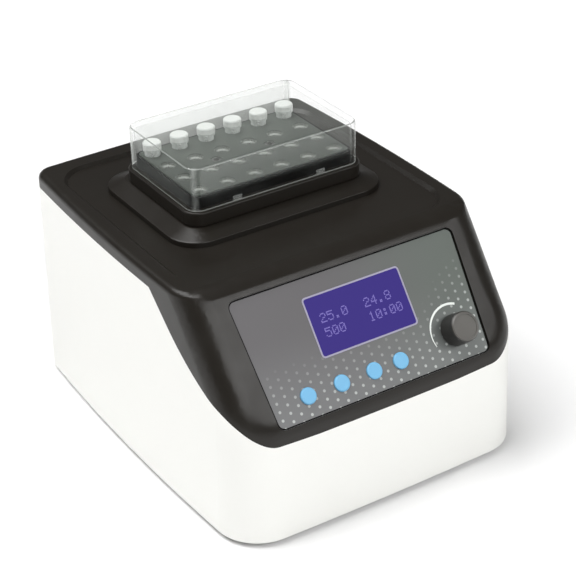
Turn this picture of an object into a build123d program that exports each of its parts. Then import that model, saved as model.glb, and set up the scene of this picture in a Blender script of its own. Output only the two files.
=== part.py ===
from build123d import *
import math
import os

# Thermal mixer for micro-tubes. Millimetres, +Z up, front towards -Y.
# The origin is on the table, under the middle of the body.

# Body: plan size at its lower edge, height and wall
BODY_HALF_W = 115.3
BODY_HALF_D = 140.3
SIDE_BOW = 5.2
END_BOW = 1.8
FRONT_CORNER_R = 31.0
REAR_CORNER_R = 15.0
DRAFT_DEG = 1.15
WALL = 3.0
FOOT_H = 4.0
DECK_Z = 158.7
DECK_EDGE_R = 5.0

# Console: a sloped face cut across the front of the cover
CONSOLE_DEG = 52.2
CONSOLE_Y = -137.0
CONSOLE_Z = 83.5
CONSOLE_FLANK_R = 20.0
PANEL_H = 84.8
PANEL_HALF_TOP = 85.0
PANEL_HALF_BOTTOM = 80.6
PANEL_T = 1.2
PANEL_CORNER_R = 5.0
PANEL_GAP = 0.3
RIM_PROUD = 1.2
CONSOLE_WALL = 2.4

# Line where the dark cover meets the white housing, in side view
SPLIT_Z = 148.2
SPLIT_BREAK_Y = -37.0
SPLIT_BEND = (-58.0, 129.5)
SPLIT_HOLLOW = (-112.0, 96.0)
SPLIT_FRONT = (-138.5, 72.4)

# Deck: shallow tray with a raised plinth round the moving block
TRAY_HALF_W = 100.0
TRAY_FRONT_Y = -71.0
TRAY_REAR_Y = 121.0
TRAY_CORNER_R = 24.0
TRAY_DEPTH = 2.4
TRAY_EDGE_DEG = 45.0
DECK_FLOOR_T = 2.6
PLINTH_HALF_W = 77.0
PLINTH_HALF_D = 53.5
PLINTH_CORNER_R = 20.0
PLINTH_H = 7.9
PLINTH_WALL = 3.0
PLINTH_EDGE_R = 2.5

# Orbiting block: 6 by 4 wells, the back row filled
ORBIT_R = 1.5
ORBIT_GAP = 1.2
BLOCK_Y = 30.8
WELL_PITCH = 20.8
WELL_COLUMNS = 6
WELL_ROWS = 4
WELL_R = 5.5
WELL_DEPTH = 26.0
WELL_TIP = 6.0
BLOCK_EDGE = 2.1
BLOCK_H = 31.2
BLOCK_GAP = 0.3

# Collar that carries the block through the deck, and the lid on it
COLLAR_WALL = 1.8
COLLAR_SKIRT_H = 9.4
COLLAR_SKIRT_T = 2.5
COLLAR_LIFT = 0.8
COLLAR_LIP_H = 8.3
COLLAR_LEDGE = 5.7
COLLAR_CORNER_R = 6.0
LID_WALL = 3.0
LID_GAP = 0.3
LID_H = 30.4
LID_TOP_T = 3.2
LID_EDGE_R = 2.5
CATCH_X = 32.0
CATCH_W = 6.5
CATCH_H = 3.0
CATCH_T = 0.7

# Stack under the block, from the platform plate up
PLATFORM_T = 6.0
PLATFORM_MARGIN = 4.5
PAD_T = 5.0
FILM_T = 1.0
FILM_INSET = 2.5
HEATER_T = 6.0
SENSOR_R = 1.5
SENSOR_L = 22.0
BLOCK_SCREW_R = 2.0
BLOCK_SCREW_HEAD_R = 3.6
BLOCK_SCREW_HEAD_H = 4.0

# Micro-tubes
TUBE_R = 5.3
TUBE_WALL = 0.9
TUBE_SHOW = 5.2
TUBE_CONE_H = 17.0
TUBE_TIP_R = 2.0
TUBE_FLANGE_R = 6.2
TUBE_FLANGE_T = 1.6
CAP_R = 6.3
CAP_H = 4.2
CAP_EDGE_R = 1.4

# Orbit drive: motor hung under a plate on pillars
RUNNING_GAP = 0.05
PLATE_T = 6.0
PLATE_HALF_W = 75.0
PLATE_HALF_D = 56.0
PLATE_TO_PLATFORM = 20.0
PILLAR_R = 5.0
PILLAR_X = 66.0
PILLAR_DY = 48.0
IDLER_X = 50.0
IDLER_DY = 33.0
IDLER_JOURNAL_R = 3.0
IDLER_BEARING_R = 8.0
IDLER_WEB_R = 6.5
IDLER_WEB_T = 7.0
SHAFT_R = 4.0
PIN_R = 3.0
PIN_END_GAP = 0.5
MAIN_BEARING_R = 11.0
PIN_BEARING_R = 9.5
WEIGHT_R = 30.0
WEIGHT_T = 6.0
WEIGHT_HUB_R = 9.0
SHAFT_FLANGE_R = 7.0
SHAFT_FLANGE_T = 4.0
WEB_LIFT = 2.0
MOTOR_R = 32.0
MOTOR_H = 56.0
MOTOR_WALL = 3.0
MOTOR_FLANGE_R = 39.0
MOTOR_FLANGE_T = 4.0
MOTOR_END_T = 5.0
TAIL_BEARING_R = 8.0
ROTOR_R = 18.0
ROTOR_H = 36.0
AIR_GAP = 0.6
SMALL_SCREW_R = 1.5
SMALL_HEAD_R = 2.9
SMALL_HEAD_H = 2.6

# Base, feet and case screws
BASE_T = 3.0
BASE_RISE = 1.0
BASE_GAP = 0.35
FOOT_R = 8.0
FOOT_X = 84.0
FOOT_Y = 104.0
CASE_SCREW_R = 2.0
CASE_HEAD_R = 3.8
CASE_HEAD_H = 2.4
CASE_BOSS_R = 5.0
CASE_BOSS_H = 26.0
CASE_BOSS_X = 94.0
CASE_BOSS_Y = 117.0
COVER_BOSS_X = 97.0
COVER_BOSS_YS = (-18.0, 112.0)
COVER_LUG_T = 4.0
COVER_LUG_DROP = 10.0
VENT_SLOT_W = 3.0
VENT_SLOT_L = 44.0
VENT_PITCH = 6.5

# Console parts, placed on the panel face: across, up the slope
DISPLAY_U = 0.8
DISPLAY_V = 52.3
DISPLAY_W = 73.0
DISPLAY_H = 39.4
DISPLAY_R = 2.5
DISPLAY_GAP = 0.1
MODULE_T = 8.0
MODULE_BOARD_MARGIN = 9.0
BOARD_T = 1.6
CONTROL_DEPTH = 14.0
CONTROL_HALF_W = 79.0
CONTROL_V_LOW = 3.0
CONTROL_V_HIGH = 78.0
CONTROL_HOLE_INSET = 5.0
CONTROL_BOSS_R = 3.5
BUTTON_V = 14.5
BUTTON_US = (-54.5, -29.6, -5.1, 15.3)
BUTTON_R = 5.4
BUTTON_PROUD = 1.6
BUTTON_GAP = 0.15
BUTTON_EDGE_R = 0.8
BUTTON_TRAVEL = 0.8
BUTTON_FLANGE_R = 6.6
BUTTON_FLANGE_T = 1.0
BUTTON_FLANGE_GAP = 0.2
SWITCH_SIDE = 6.6
SWITCH_H = 3.8
STEM_R = 1.7
STEM_GAP = 0.08
STEM_IN_SWITCH = 1.8
KNOB_U = 60.5
KNOB_V = 20.4
KNOB_R = 10.5
KNOB_TOP_R = 10.0
KNOB_H = 14.0
KNOB_LIFT = 0.9
KNOB_CHAMFER = 1.1
KNOB_DISH = 0.5
PUSH_TRAVEL = 0.5
ENCODER_SIDE = 13.0
ENCODER_H = 7.0
BUSH_R = 3.5
BUSH_PROUD = 1.5
BUSH_NUT_R = 5.6
BUSH_NUT_T = 1.6
ENCODER_SHAFT_R = 2.9
PUSH_ROD_R = 1.8
SHAFT_IN_ENCODER = 6.0

# Rear wall: flat seats for the inlet and the switch, and the fan grille
REAR_SEAT_Y = 138.0
FLANGE_T = 1.6
INLET_X = 62.0
INLET_Z = 42.0
INLET_FLANGE_W = 50.0
INLET_FLANGE_H = 34.0
INLET_BODY_W = 29.0
INLET_BODY_H = 31.0
INLET_BODY_L = 24.0
SOCKET_W = 24.4
SOCKET_H = 16.4
SOCKET_DEPTH = 17.0
SOCKET_RISE = 5.2
SOCKET_CUT = 4.0
BLADE_T = 2.0
BLADE_H = 4.0
BLADE_X = 7.0
BLADE_Z = 2.0
BLADE_SHORT = 3.0
INLET_SCREW_DX = 20.0
DRAWER_W = 20.0
DRAWER_H = 6.4
DRAWER_L = 18.0
DRAWER_DROP = 9.6
DRAWER_GAP = 0.15
DRAWER_PROUD = 1.0
DRAWER_TRAVEL = 16.0
ROCKER_X = 20.0
ROCKER_Z = 42.0
ROCKER_HALF_W = 8.0
ROCKER_HALF_L = 11.0
ROCKER_TILT = 8.0
ROCKER_RISE = 3.0
ROCKER_ROOT = 4.0
ROCKER_GAP = 0.25
ROCKER_WALL = 2.0
ROCKER_FLANGE = 3.0
ROCKER_DEPTH = 3.4
ROCKER_CELL = 16.0
ROCKER_AXLE_R = 1.4
FAN_X = -48.0
FAN_Z = 84.0
FAN_SIDE = 60.0
FAN_T = 15.0
FAN_SEAT_Y = 134.0
FAN_BORE_R = 28.0
FAN_HUB_R = 12.0
FAN_TIP_GAP = 0.8
FAN_BLADES = 7
FAN_BLADE_T = 1.2
FAN_BLADE_DEG = 38.0
FAN_STRUT_W = 3.0
FAN_BASE_T = 2.4
FAN_AXLE_R = 1.5
FAN_HOLE = 25.0
FAN_SCREW_R = 1.8
GRILLE_R = 27.0
GRILLE_SLOT = 3.0
GRILLE_PITCH = 5.6

# Boards under the console
MAIN_BOARD = (16.0, 100.0, -112.0, -52.0)
STANDOFF_H = 8.0
STANDOFF_R = 3.0
STANDOFF_INSET = 5.0
SUPPLY = (-98.0, 2.0, -112.0, -56.0)
SUPPLY_H = 36.0
SUPPLY_PAN_T = 1.5

# Heights and places that follow from the sizes above
BODY_Z = FOOT_H
TRAY_Z = DECK_Z - TRAY_DEPTH
DECK_UNDER_Z = TRAY_Z - DECK_FLOOR_T
PLINTH_Z = TRAY_Z + PLINTH_H
BASE_Z = BODY_Z + BASE_RISE
BASE_TOP_Z = BASE_Z + BASE_T
DRIVE_Y = BLOCK_Y - ORBIT_R
BLOCK_HALF_W = (WELL_COLUMNS - 1) * WELL_PITCH / 2 + WELL_R + BLOCK_EDGE
BLOCK_HALF_D = (WELL_ROWS - 1) * WELL_PITCH / 2 + WELL_R + BLOCK_EDGE
TUBE_IN_HALF_W = BLOCK_HALF_W + BLOCK_GAP
TUBE_IN_HALF_D = BLOCK_HALF_D + BLOCK_GAP
COLLAR_HALF_W = TUBE_IN_HALF_W + COLLAR_WALL
COLLAR_HALF_D = TUBE_IN_HALF_D + COLLAR_WALL
SKIRT_HALF_W = COLLAR_HALF_W + COLLAR_LEDGE
SKIRT_HALF_D = COLLAR_HALF_D + COLLAR_LEDGE
LEDGE_Z = PLINTH_Z + COLLAR_LIFT + COLLAR_SKIRT_H
BLOCK_CORNER_R = COLLAR_CORNER_R - COLLAR_WALL - BLOCK_GAP
LID_HALF_W = COLLAR_HALF_W + LID_GAP + LID_WALL
LID_HALF_D = COLLAR_HALF_D + LID_GAP + LID_WALL
BLOCK_TOP_Z = LEDGE_Z + COLLAR_LIP_H + 0.7
BLOCK_Z = BLOCK_TOP_Z - BLOCK_H
HEATER_Z = BLOCK_Z - HEATER_T
FILM_Z = HEATER_Z - FILM_T
PAD_Z = FILM_Z - PAD_T
PLATFORM_Z = PAD_Z - PLATFORM_T
PLATE_TOP_Z = PLATFORM_Z - PLATE_TO_PLATFORM
PLATE_Z = PLATE_TOP_Z - PLATE_T
OPENING_HALF_W = COLLAR_HALF_W + ORBIT_R + ORBIT_GAP
OPENING_HALF_D = COLLAR_HALF_D + ORBIT_R + ORBIT_GAP
MOTOR_Z = PLATE_Z - MOTOR_H
ROTOR_Z = MOTOR_Z + (MOTOR_H - ROTOR_H) / 2
JOURNAL_END_Z = PAD_Z - PIN_END_GAP
POCKET_FLOOR = -PANEL_T
CONSOLE_INNER = POCKET_FLOOR - CONSOLE_WALL
SWITCH_TOP = -CONTROL_DEPTH + SWITCH_H
CONSOLE = Plane(
    origin=(0, CONSOLE_Y, CONSOLE_Z),
    x_dir=(1, 0, 0),
    z_dir=(0, -math.sin(math.radians(CONSOLE_DEG)), math.cos(math.radians(CONSOLE_DEG))),
)


# Shapes used many times
def rod(radius, z_low, z_high, x=0.0, y=0.0):
    return Pos(x, y, (z_low + z_high) / 2) * Cylinder(radius, z_high - z_low)


def slab(x_low, x_high, y_low, y_high, z_low, z_high):
    size = (x_high - x_low, y_high - y_low, z_high - z_low)
    return Pos((x_low + x_high) / 2, (y_low + y_high) / 2, (z_low + z_high) / 2) * Box(*size)


def rounded_slab(half_w, half_d, radius, z_low, z_high, y=BLOCK_Y, taper=0.0):
    face = Pos(0, y, z_low) * RectangleRounded(2 * half_w, 2 * half_d, radius)
    return extrude(face, z_high - z_low, taper=taper)


def ring(outer, inner, z_low, z_high, x=0.0, y=0.0):
    return rod(outer, z_low, z_high, x, y) - rod(inner, z_low, z_high, x, y)


def upward_screw(x, y, z_seat, length, radius, head_r, head_h):
    return rod(head_r, z_seat - head_h, z_seat, x, y) + rod(radius, z_seat, z_seat + length, x, y)


def downward_screw(x, y, z_seat, length, radius, head_r, head_h):
    return rod(head_r, z_seat, z_seat + head_h, x, y) + rod(radius, z_seat - length, z_seat, x, y)


def group(solids):
    return Compound(children=[solid for piece in solids for solid in piece.solids()])


def on_console(shape, u=0.0, v=0.0, w=0.0):
    return CONSOLE.location * Pos(u, v, w) * shape


def console_rod(radius, w_low, w_high, u, v):
    return on_console(Cylinder(radius, w_high - w_low), u, v, (w_low + w_high) / 2)


def rear_rod(radius, y_low, y_high, x, z):
    return Pos(x, (y_low + y_high) / 2, z) * Rot(90, 0, 0) * Cylinder(radius, y_high - y_low)


def corners(dx, dy, y=0.0):
    return [(sx * dx, y + sy * dy) for sx in (-1, 1) for sy in (-1, 1)]


# Plan outline of the body: four bowed sides and rounded corners
def plan(inset):
    half_w = BODY_HALF_W - inset
    half_d = BODY_HALF_D - inset
    corner_x = half_w - SIDE_BOW
    corner_y = half_d - END_BOW
    front = ThreePointArc((-corner_x, -corner_y), (0, -half_d), (corner_x, -corner_y))
    right = ThreePointArc((corner_x, -corner_y), (half_w, 0), (corner_x, corner_y))
    rear = ThreePointArc((corner_x, corner_y), (0, half_d), (-corner_x, corner_y))
    left = ThreePointArc((-corner_x, corner_y), (-half_w, 0), (-corner_x, -corner_y))
    face = make_face([front, right, rear, left])
    front_corners = [v for v in face.vertices() if v.Y < 0]
    face = fillet(front_corners, FRONT_CORNER_R - inset)
    rear_corners = face.vertices().sort_by(Axis.Y)[-2:]
    return fillet(rear_corners, REAR_CORNER_R - inset)


# Body form: drafted plan, flat deck and the sloped console with round flanks
def body_form(inset, deck_z, console_w, edge_r):
    tall = DECK_Z - BODY_Z + DECK_EDGE_R
    block = extrude(Pos(0, 0, BODY_Z) * plan(inset), tall, taper=DRAFT_DEG)
    rise = math.tan(math.radians(CONSOLE_DEG))
    foot = CONSOLE.from_local_coords((0, 0, console_w))
    brow_y = foot.Y + (deck_z - foot.Z) / rise
    low_y = -BODY_HALF_D - 20
    low_z = foot.Z + (low_y - foot.Y) * rise
    back_y = BODY_HALF_D + 20
    side = Polyline(
        (back_y, deck_z),
        (brow_y, deck_z),
        (low_y, low_z),
        (low_y, 0),
        (back_y, 0),
        close=True,
    )
    block = block & extrude(Plane.YZ * make_face(side), BODY_HALF_W + 20, both=True)
    slope = [f for f in block.faces() if abs(f.normal_at().dot(CONSOLE.z_dir)) > 0.999][0]
    flanks = [e for e in slope.edges() if e.bounding_box().min.Z < deck_z - 0.1]
    block = fillet(flanks, CONSOLE_FLANK_R - inset)
    if edge_r > 0:
        deck = block.faces().sort_by(Axis.Z)[-1]
        block = fillet(deck.edges(), edge_r)
    return block


# Everything below the cover line, as one solid across the whole width
def below_split():
    back_y = BODY_HALF_D + 20
    front_y = -BODY_HALF_D - 20
    level = Line((back_y, SPLIT_Z), (SPLIT_BREAK_Y, SPLIT_Z))
    drop = Line(level @ 1, SPLIT_BEND)
    hollow = TangentArc(drop @ 1, SPLIT_HOLLOW, tangent=drop % 1)
    round_off = TangentArc(hollow @ 1, SPLIT_FRONT, tangent=hollow % 1)
    front = Line(round_off @ 1, (front_y, SPLIT_FRONT[1]))
    down = Line(front @ 1, (front_y, -10))
    bottom = Line(down @ 1, (back_y, -10))
    up = Line(bottom @ 1, level @ 0)
    face = make_face([level, drop, hollow, round_off, front, down, bottom, up])
    return extrude(Plane.YZ * face, BODY_HALF_W + 20, both=True)


# Flat pocket in the rear wall and the hole behind it
def rear_seat(x, z, flange_w, flange_h, hole_w, hole_h):
    out_y = BODY_HALF_D + 5
    seat = slab(x - flange_w / 2, x + flange_w / 2, REAR_SEAT_Y, out_y, z - flange_h / 2, z + flange_h / 2)
    in_y = REAR_SEAT_Y - 20
    hole = slab(x - hole_w / 2, x + hole_w / 2, in_y, out_y, z - hole_h / 2, z + hole_h / 2)
    return seat + hole


# Round field of level slots in front of the fan
def grille_cut():
    count = int(GRILLE_R // GRILLE_PITCH)
    slots = []
    for i in range(-count, count + 1):
        dz = i * GRILLE_PITCH
        half = math.sqrt(GRILLE_R**2 - dz**2)
        face = SlotOverall(2 * half, GRILLE_SLOT)
        slots.append(Pos(FAN_X, BODY_HALF_D + 5, FAN_Z + dz) * Rot(90, 0, 0) * extrude(face, 30))
    return slots


def make_housing(outer, inner, lower):
    shell = (outer & lower) - inner
    for x, y in corners(CASE_BOSS_X, CASE_BOSS_Y):
        boss = rod(CASE_BOSS_R, BASE_TOP_Z, BASE_TOP_Z + CASE_BOSS_H, x, y)
        reach = math.copysign(FRONT_CORNER_R, x)
        web_x = sorted((x, x + reach))
        web = slab(*web_x, y - 1.5, y + 1.5, BASE_TOP_Z, BASE_TOP_Z + CASE_BOSS_H)
        boss = (boss + web) & body_core(WALL / 2)
        shell = shell + boss - rod(CASE_SCREW_R, BASE_TOP_Z, BASE_TOP_Z + 14, x, y)
    lug_z = DECK_UNDER_Z - COVER_LUG_DROP - COVER_LUG_T
    for sx in (-1, 1):
        for y in COVER_BOSS_YS:
            ends = sorted((sx * (COVER_BOSS_X - 6), sx * BODY_HALF_W))
            lug = slab(*ends, y - 7, y + 7, lug_z, lug_z + COVER_LUG_T) & body_core(WALL / 2)
            shell = shell + lug - rod(CASE_SCREW_R, lug_z, lug_z + COVER_LUG_T, sx * COVER_BOSS_X, y)
    for sx in (-1, 1):
        for sz in (-1, 1):
            seat = rear_rod(4, FAN_SEAT_Y, BODY_HALF_D, FAN_X + sx * FAN_HOLE, FAN_Z + sz * FAN_HOLE)
            shell = shell + (seat & body_core(WALL / 2))
    for sx in (-1, 1):
        for sz in (-1, 1):
            hole = rear_rod(FAN_SCREW_R, FAN_SEAT_Y - 1, FAN_SEAT_Y + 3, FAN_X + sx * FAN_HOLE, FAN_Z + sz * FAN_HOLE)
            shell = shell - hole
    shell = shell - rear_seat(INLET_X, INLET_Z, INLET_FLANGE_W, INLET_FLANGE_H, INLET_BODY_W, INLET_BODY_H)
    flange_w = 2 * (ROCKER_HALF_W + ROCKER_GAP + ROCKER_WALL + ROCKER_FLANGE)
    flange_h = 2 * (ROCKER_HALF_L + ROCKER_GAP + ROCKER_WALL + ROCKER_FLANGE)
    cell_w = flange_w - 2 * ROCKER_FLANGE
    cell_h = flange_h - 2 * ROCKER_FLANGE
    shell = shell - rear_seat(ROCKER_X, ROCKER_Z, flange_w, flange_h, cell_w, cell_h)
    for sx in (-1, 1):
        shell = shell - rear_rod(SMALL_SCREW_R, REAR_SEAT_Y - 8, REAR_SEAT_Y + 5, INLET_X + sx * INLET_SCREW_DX, INLET_Z)
    return shell - grille_cut()


def body_core(inset):
    return extrude(Pos(0, 0, BODY_Z) * plan(inset), DECK_Z - BODY_Z, taper=DRAFT_DEG)


def panel_face(grow):
    low = -grow
    high = PANEL_H + grow
    bottom = PANEL_HALF_BOTTOM + grow
    top = PANEL_HALF_TOP + grow
    face = make_face(Polyline((-bottom, low), (bottom, low), (top, high), (-top, high), close=True))
    return fillet(face.vertices(), PANEL_CORNER_R + grow)


def console_holes(button_r, bush_r, display_gap):
    w = DISPLAY_W + 2 * display_gap
    h = DISPLAY_H + 2 * display_gap
    deep = 30
    window = extrude(RectangleRounded(w, h, DISPLAY_R + display_gap), deep / 2, both=True)
    cut = [on_console(window, DISPLAY_U, DISPLAY_V)]
    for u in BUTTON_US:
        cut.append(console_rod(button_r, -deep / 2, deep / 2, u, BUTTON_V))
    cut.append(console_rod(bush_r, -deep / 2, deep / 2, KNOB_U, KNOB_V))
    return cut


def control_holes():
    us = (-CONTROL_HALF_W + CONTROL_HOLE_INSET, CONTROL_HALF_W - CONTROL_HOLE_INSET)
    vs = (CONTROL_V_LOW + CONTROL_HOLE_INSET, CONTROL_V_HIGH - CONTROL_HOLE_INSET)
    return [(u, v) for u in us for v in vs]


def make_cover(outer, inner, lower):
    shell = (outer - lower) - inner
    tray_y = (TRAY_FRONT_Y + TRAY_REAR_Y) / 2
    tray_half_d = (TRAY_REAR_Y - TRAY_FRONT_Y) / 2
    tray_face = Pos(0, tray_y, DECK_Z) * RectangleRounded(2 * TRAY_HALF_W, 2 * tray_half_d, TRAY_CORNER_R)
    shell = shell - extrude(tray_face, -TRAY_DEPTH, taper=TRAY_EDGE_DEG)
    plinth = rounded_slab(PLINTH_HALF_W, PLINTH_HALF_D, PLINTH_CORNER_R, DECK_UNDER_Z, PLINTH_Z)
    plinth = fillet(plinth.faces().sort_by(Axis.Z)[-1].edges(), PLINTH_EDGE_R)
    hollow_w = PLINTH_HALF_W - PLINTH_WALL
    hollow_d = PLINTH_HALF_D - PLINTH_WALL
    hollow_r = PLINTH_CORNER_R - PLINTH_WALL
    hollow = rounded_slab(hollow_w, hollow_d, hollow_r, DECK_UNDER_Z - 5, PLINTH_Z - PLINTH_WALL)
    way = rounded_slab(
        OPENING_HALF_W,
        OPENING_HALF_D,
        COLLAR_CORNER_R + ORBIT_R,
        DECK_UNDER_Z - 5,
        PLINTH_Z + 5,
        y=DRIVE_Y,
    )
    shell = shell + plinth - hollow - way
    for sx in (-1, 1):
        for y in COVER_BOSS_YS:
            x = sx * COVER_BOSS_X
            low = DECK_UNDER_Z - COVER_LUG_DROP
            shell = shell + ring(CASE_BOSS_R, CASE_SCREW_R, low, DECK_UNDER_Z + 0.5, x, y)
    pocket = extrude(panel_face(PANEL_GAP), 20)
    shell = shell - on_console(pocket, 0, 0, POCKET_FLOOR)
    shell = shell - console_holes(BUTTON_R + BUTTON_GAP, BUSH_R + BUTTON_GAP, DISPLAY_GAP)
    for u, v in control_holes():
        shell = shell + console_rod(CONTROL_BOSS_R, -CONTROL_DEPTH, POCKET_FLOOR - 0.5, u, v)
    for u, v in control_holes():
        shell = shell - console_rod(SMALL_SCREW_R, -CONTROL_DEPTH, -CONTROL_DEPTH + 8, u, v)
    return shell


def make_base():
    plate = extrude(Pos(0, 0, BASE_Z) * plan(WALL + BASE_GAP), BASE_T)
    slot = extrude(SlotOverall(VENT_SLOT_L, VENT_SLOT_W), BASE_T)
    for side in (-1, 1):
        for i in range(6):
            plate = plate - Pos(side * 40, -20 + i * VENT_PITCH, BASE_Z) * slot
    for x, y in corners(CASE_BOSS_X, CASE_BOSS_Y):
        plate = plate - rod(CASE_SCREW_R, BASE_Z, BASE_TOP_Z, x, y)
    return plate


def make_foot(x, y):
    foot = rod(FOOT_R, 0, BASE_Z, x, y)
    return fillet(foot.edges().sort_by(Axis.Z)[:1], 1.2)


def make_panel():
    plate = on_console(extrude(panel_face(0), PANEL_T), 0, 0, -PANEL_T)
    return plate - console_holes(BUTTON_R + BUTTON_GAP, BUSH_R + BUTTON_GAP, DISPLAY_GAP)


def make_window():
    window = extrude(RectangleRounded(DISPLAY_W, DISPLAY_H, DISPLAY_R), PANEL_T)
    return on_console(window, DISPLAY_U, DISPLAY_V, -PANEL_T)


def make_display_module():
    glass = extrude(RectangleRounded(DISPLAY_W - 1, DISPLAY_H - 1, DISPLAY_R), -MODULE_T)
    board_w = DISPLAY_W + MODULE_BOARD_MARGIN
    board_h = DISPLAY_H + MODULE_BOARD_MARGIN
    board_low = -CONTROL_DEPTH - POCKET_FLOOR
    board = Pos(0, 0, (board_low - MODULE_T) / 2) * Box(board_w, board_h, -board_low - MODULE_T)
    return on_console(glass + board, DISPLAY_U, DISPLAY_V, POCKET_FLOOR)


def make_control_board():
    mid = (CONTROL_V_LOW + CONTROL_V_HIGH) / 2
    tall = CONTROL_V_HIGH - CONTROL_V_LOW
    board = on_console(Box(2 * CONTROL_HALF_W, tall, BOARD_T), 0, mid, -CONTROL_DEPTH - BOARD_T / 2)
    for u, v in control_holes():
        board = board - console_rod(SMALL_SCREW_R, -CONTROL_DEPTH - BOARD_T, -CONTROL_DEPTH, u, v)
    return board


def make_control_screws():
    screws = []
    for u, v in control_holes():
        back = -CONTROL_DEPTH - BOARD_T
        head = console_rod(SMALL_HEAD_R, back - SMALL_HEAD_H, back, u, v)
        screws.append(head + console_rod(SMALL_SCREW_R, back, -CONTROL_DEPTH + 7, u, v))
    return group(screws)


def make_button(u):
    flange_top = CONSOLE_INNER - BUTTON_FLANGE_GAP
    flange_low = flange_top - BUTTON_FLANGE_T
    cap = Pos(0, 0, (flange_low + BUTTON_PROUD) / 2) * Cylinder(BUTTON_R, BUTTON_PROUD - flange_low)
    cap = fillet(cap.edges().sort_by(Axis.Z)[-1:], BUTTON_EDGE_R)
    flange = Pos(0, 0, (flange_low + flange_top) / 2) * Cylinder(BUTTON_FLANGE_R, BUTTON_FLANGE_T)
    stem_low = SWITCH_TOP - STEM_IN_SWITCH
    stem = Pos(0, 0, (stem_low + flange_low) / 2) * Cylinder(STEM_R, flange_low - stem_low)
    return on_console(cap + flange + stem, u, BUTTON_V)


def make_switches():
    switches = []
    for u in BUTTON_US:
        body = on_console(Box(SWITCH_SIDE, SWITCH_SIDE, SWITCH_H), u, BUTTON_V, SWITCH_TOP - SWITCH_H / 2)
        deep = STEM_IN_SWITCH + BUTTON_TRAVEL + 0.4
        switches.append(body - console_rod(STEM_R + STEM_GAP, SWITCH_TOP - deep, SWITCH_TOP, u, BUTTON_V))
    return group(switches)


def make_encoder():
    top = -CONTROL_DEPTH + ENCODER_H
    body = on_console(Box(ENCODER_SIDE, ENCODER_SIDE, ENCODER_H), KNOB_U, KNOB_V, top - ENCODER_H / 2)
    body = body + console_rod(BUSH_R, top, BUSH_PROUD, KNOB_U, KNOB_V)
    seat = -SHAFT_IN_ENCODER - PUSH_TRAVEL - 0.5
    body = body - console_rod(ENCODER_SHAFT_R + RUNNING_GAP, seat, BUSH_PROUD, KNOB_U, KNOB_V)
    return body - console_rod(PUSH_ROD_R + RUNNING_GAP, -CONTROL_DEPTH + 0.6, seat, KNOB_U, KNOB_V)


def make_bush_nut():
    nut = extrude(RegularPolygon(BUSH_NUT_R, 6), BUSH_NUT_T) - extrude(Circle(BUSH_R), BUSH_NUT_T)
    return on_console(nut, KNOB_U, KNOB_V, 0)


def make_push_rod():
    return console_rod(PUSH_ROD_R, -CONTROL_DEPTH + 1.4, -SHAFT_IN_ENCODER, KNOB_U, KNOB_V)


def make_encoder_shaft():
    return console_rod(ENCODER_SHAFT_R, -SHAFT_IN_ENCODER, KNOB_LIFT + KNOB_H - 3, KNOB_U, KNOB_V)


def make_knob():
    body = Pos(0, 0, KNOB_H / 2) * Cone(KNOB_R, KNOB_TOP_R, KNOB_H)
    body = chamfer(body.edges().sort_by(Axis.Z)[-1:], KNOB_CHAMFER)
    dish_r = KNOB_TOP_R - KNOB_CHAMFER - 0.8
    body = body - Pos(0, 0, KNOB_H) * Cylinder(dish_r, 2 * KNOB_DISH)
    body = body - Pos(0, 0, (KNOB_H - 3) / 2) * Cylinder(ENCODER_SHAFT_R, KNOB_H - 3)
    room_r = BUSH_NUT_R + 1
    room_h = BUSH_NUT_T + PUSH_TRAVEL + 1
    body = body - Pos(0, 0, room_h / 2) * Cylinder(room_r, room_h)
    return on_console(body, KNOB_U, KNOB_V, KNOB_LIFT)


# C14 style inlet with its fuse drawer below the socket
def socket_face(grow):
    half_w = SOCKET_W / 2 + grow
    half_h = SOCKET_H / 2 + grow
    points = [
        (-half_w, -half_h),
        (half_w, -half_h),
        (half_w, half_h - SOCKET_CUT),
        (half_w - SOCKET_CUT, half_h),
        (-half_w + SOCKET_CUT, half_h),
        (-half_w, half_h - SOCKET_CUT),
    ]
    return make_face(Polyline(*points, close=True))


def make_inlet():
    face_y = REAR_SEAT_Y + FLANGE_T
    flange = slab(
        INLET_X - INLET_FLANGE_W / 2,
        INLET_X + INLET_FLANGE_W / 2,
        REAR_SEAT_Y,
        face_y,
        INLET_Z - INLET_FLANGE_H / 2,
        INLET_Z + INLET_FLANGE_H / 2,
    )
    flange = fillet(flange.edges().filter_by(Axis.Y), 3)
    body = slab(
        INLET_X - INLET_BODY_W / 2,
        INLET_X + INLET_BODY_W / 2,
        face_y - INLET_BODY_L,
        REAR_SEAT_Y,
        INLET_Z - INLET_BODY_H / 2,
        INLET_Z + INLET_BODY_H / 2,
    )
    socket_z = INLET_Z + SOCKET_RISE
    socket = Pos(INLET_X, face_y, socket_z) * Rot(90, 0, 0) * extrude(socket_face(0), SOCKET_DEPTH)
    inlet = flange + body - socket
    for x, z, short in ((-BLADE_X, -BLADE_Z, 0), (BLADE_X, -BLADE_Z, 0), (0, BLADE_Z, -1.0)):
        blade = slab(
            INLET_X + x - BLADE_T / 2,
            INLET_X + x + BLADE_T / 2,
            face_y - SOCKET_DEPTH,
            face_y - BLADE_SHORT - short,
            socket_z + z - BLADE_H / 2,
            socket_z + z + BLADE_H / 2,
        )
        inlet = inlet + blade
    inlet = inlet - drawer_block(DRAWER_GAP, face_y - DRAWER_L - DRAWER_GAP, face_y + 5)
    for sx in (-1, 1):
        inlet = inlet - rear_rod(SMALL_SCREW_R, REAR_SEAT_Y, face_y, INLET_X + sx * INLET_SCREW_DX, INLET_Z)
    return inlet


def drawer_block(grow, y_low, y_high):
    z = INLET_Z - DRAWER_DROP
    half_w = DRAWER_W / 2 + grow
    half_h = DRAWER_H / 2 + grow
    return slab(INLET_X - half_w, INLET_X + half_w, y_low, y_high, z - half_h, z + half_h)


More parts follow.
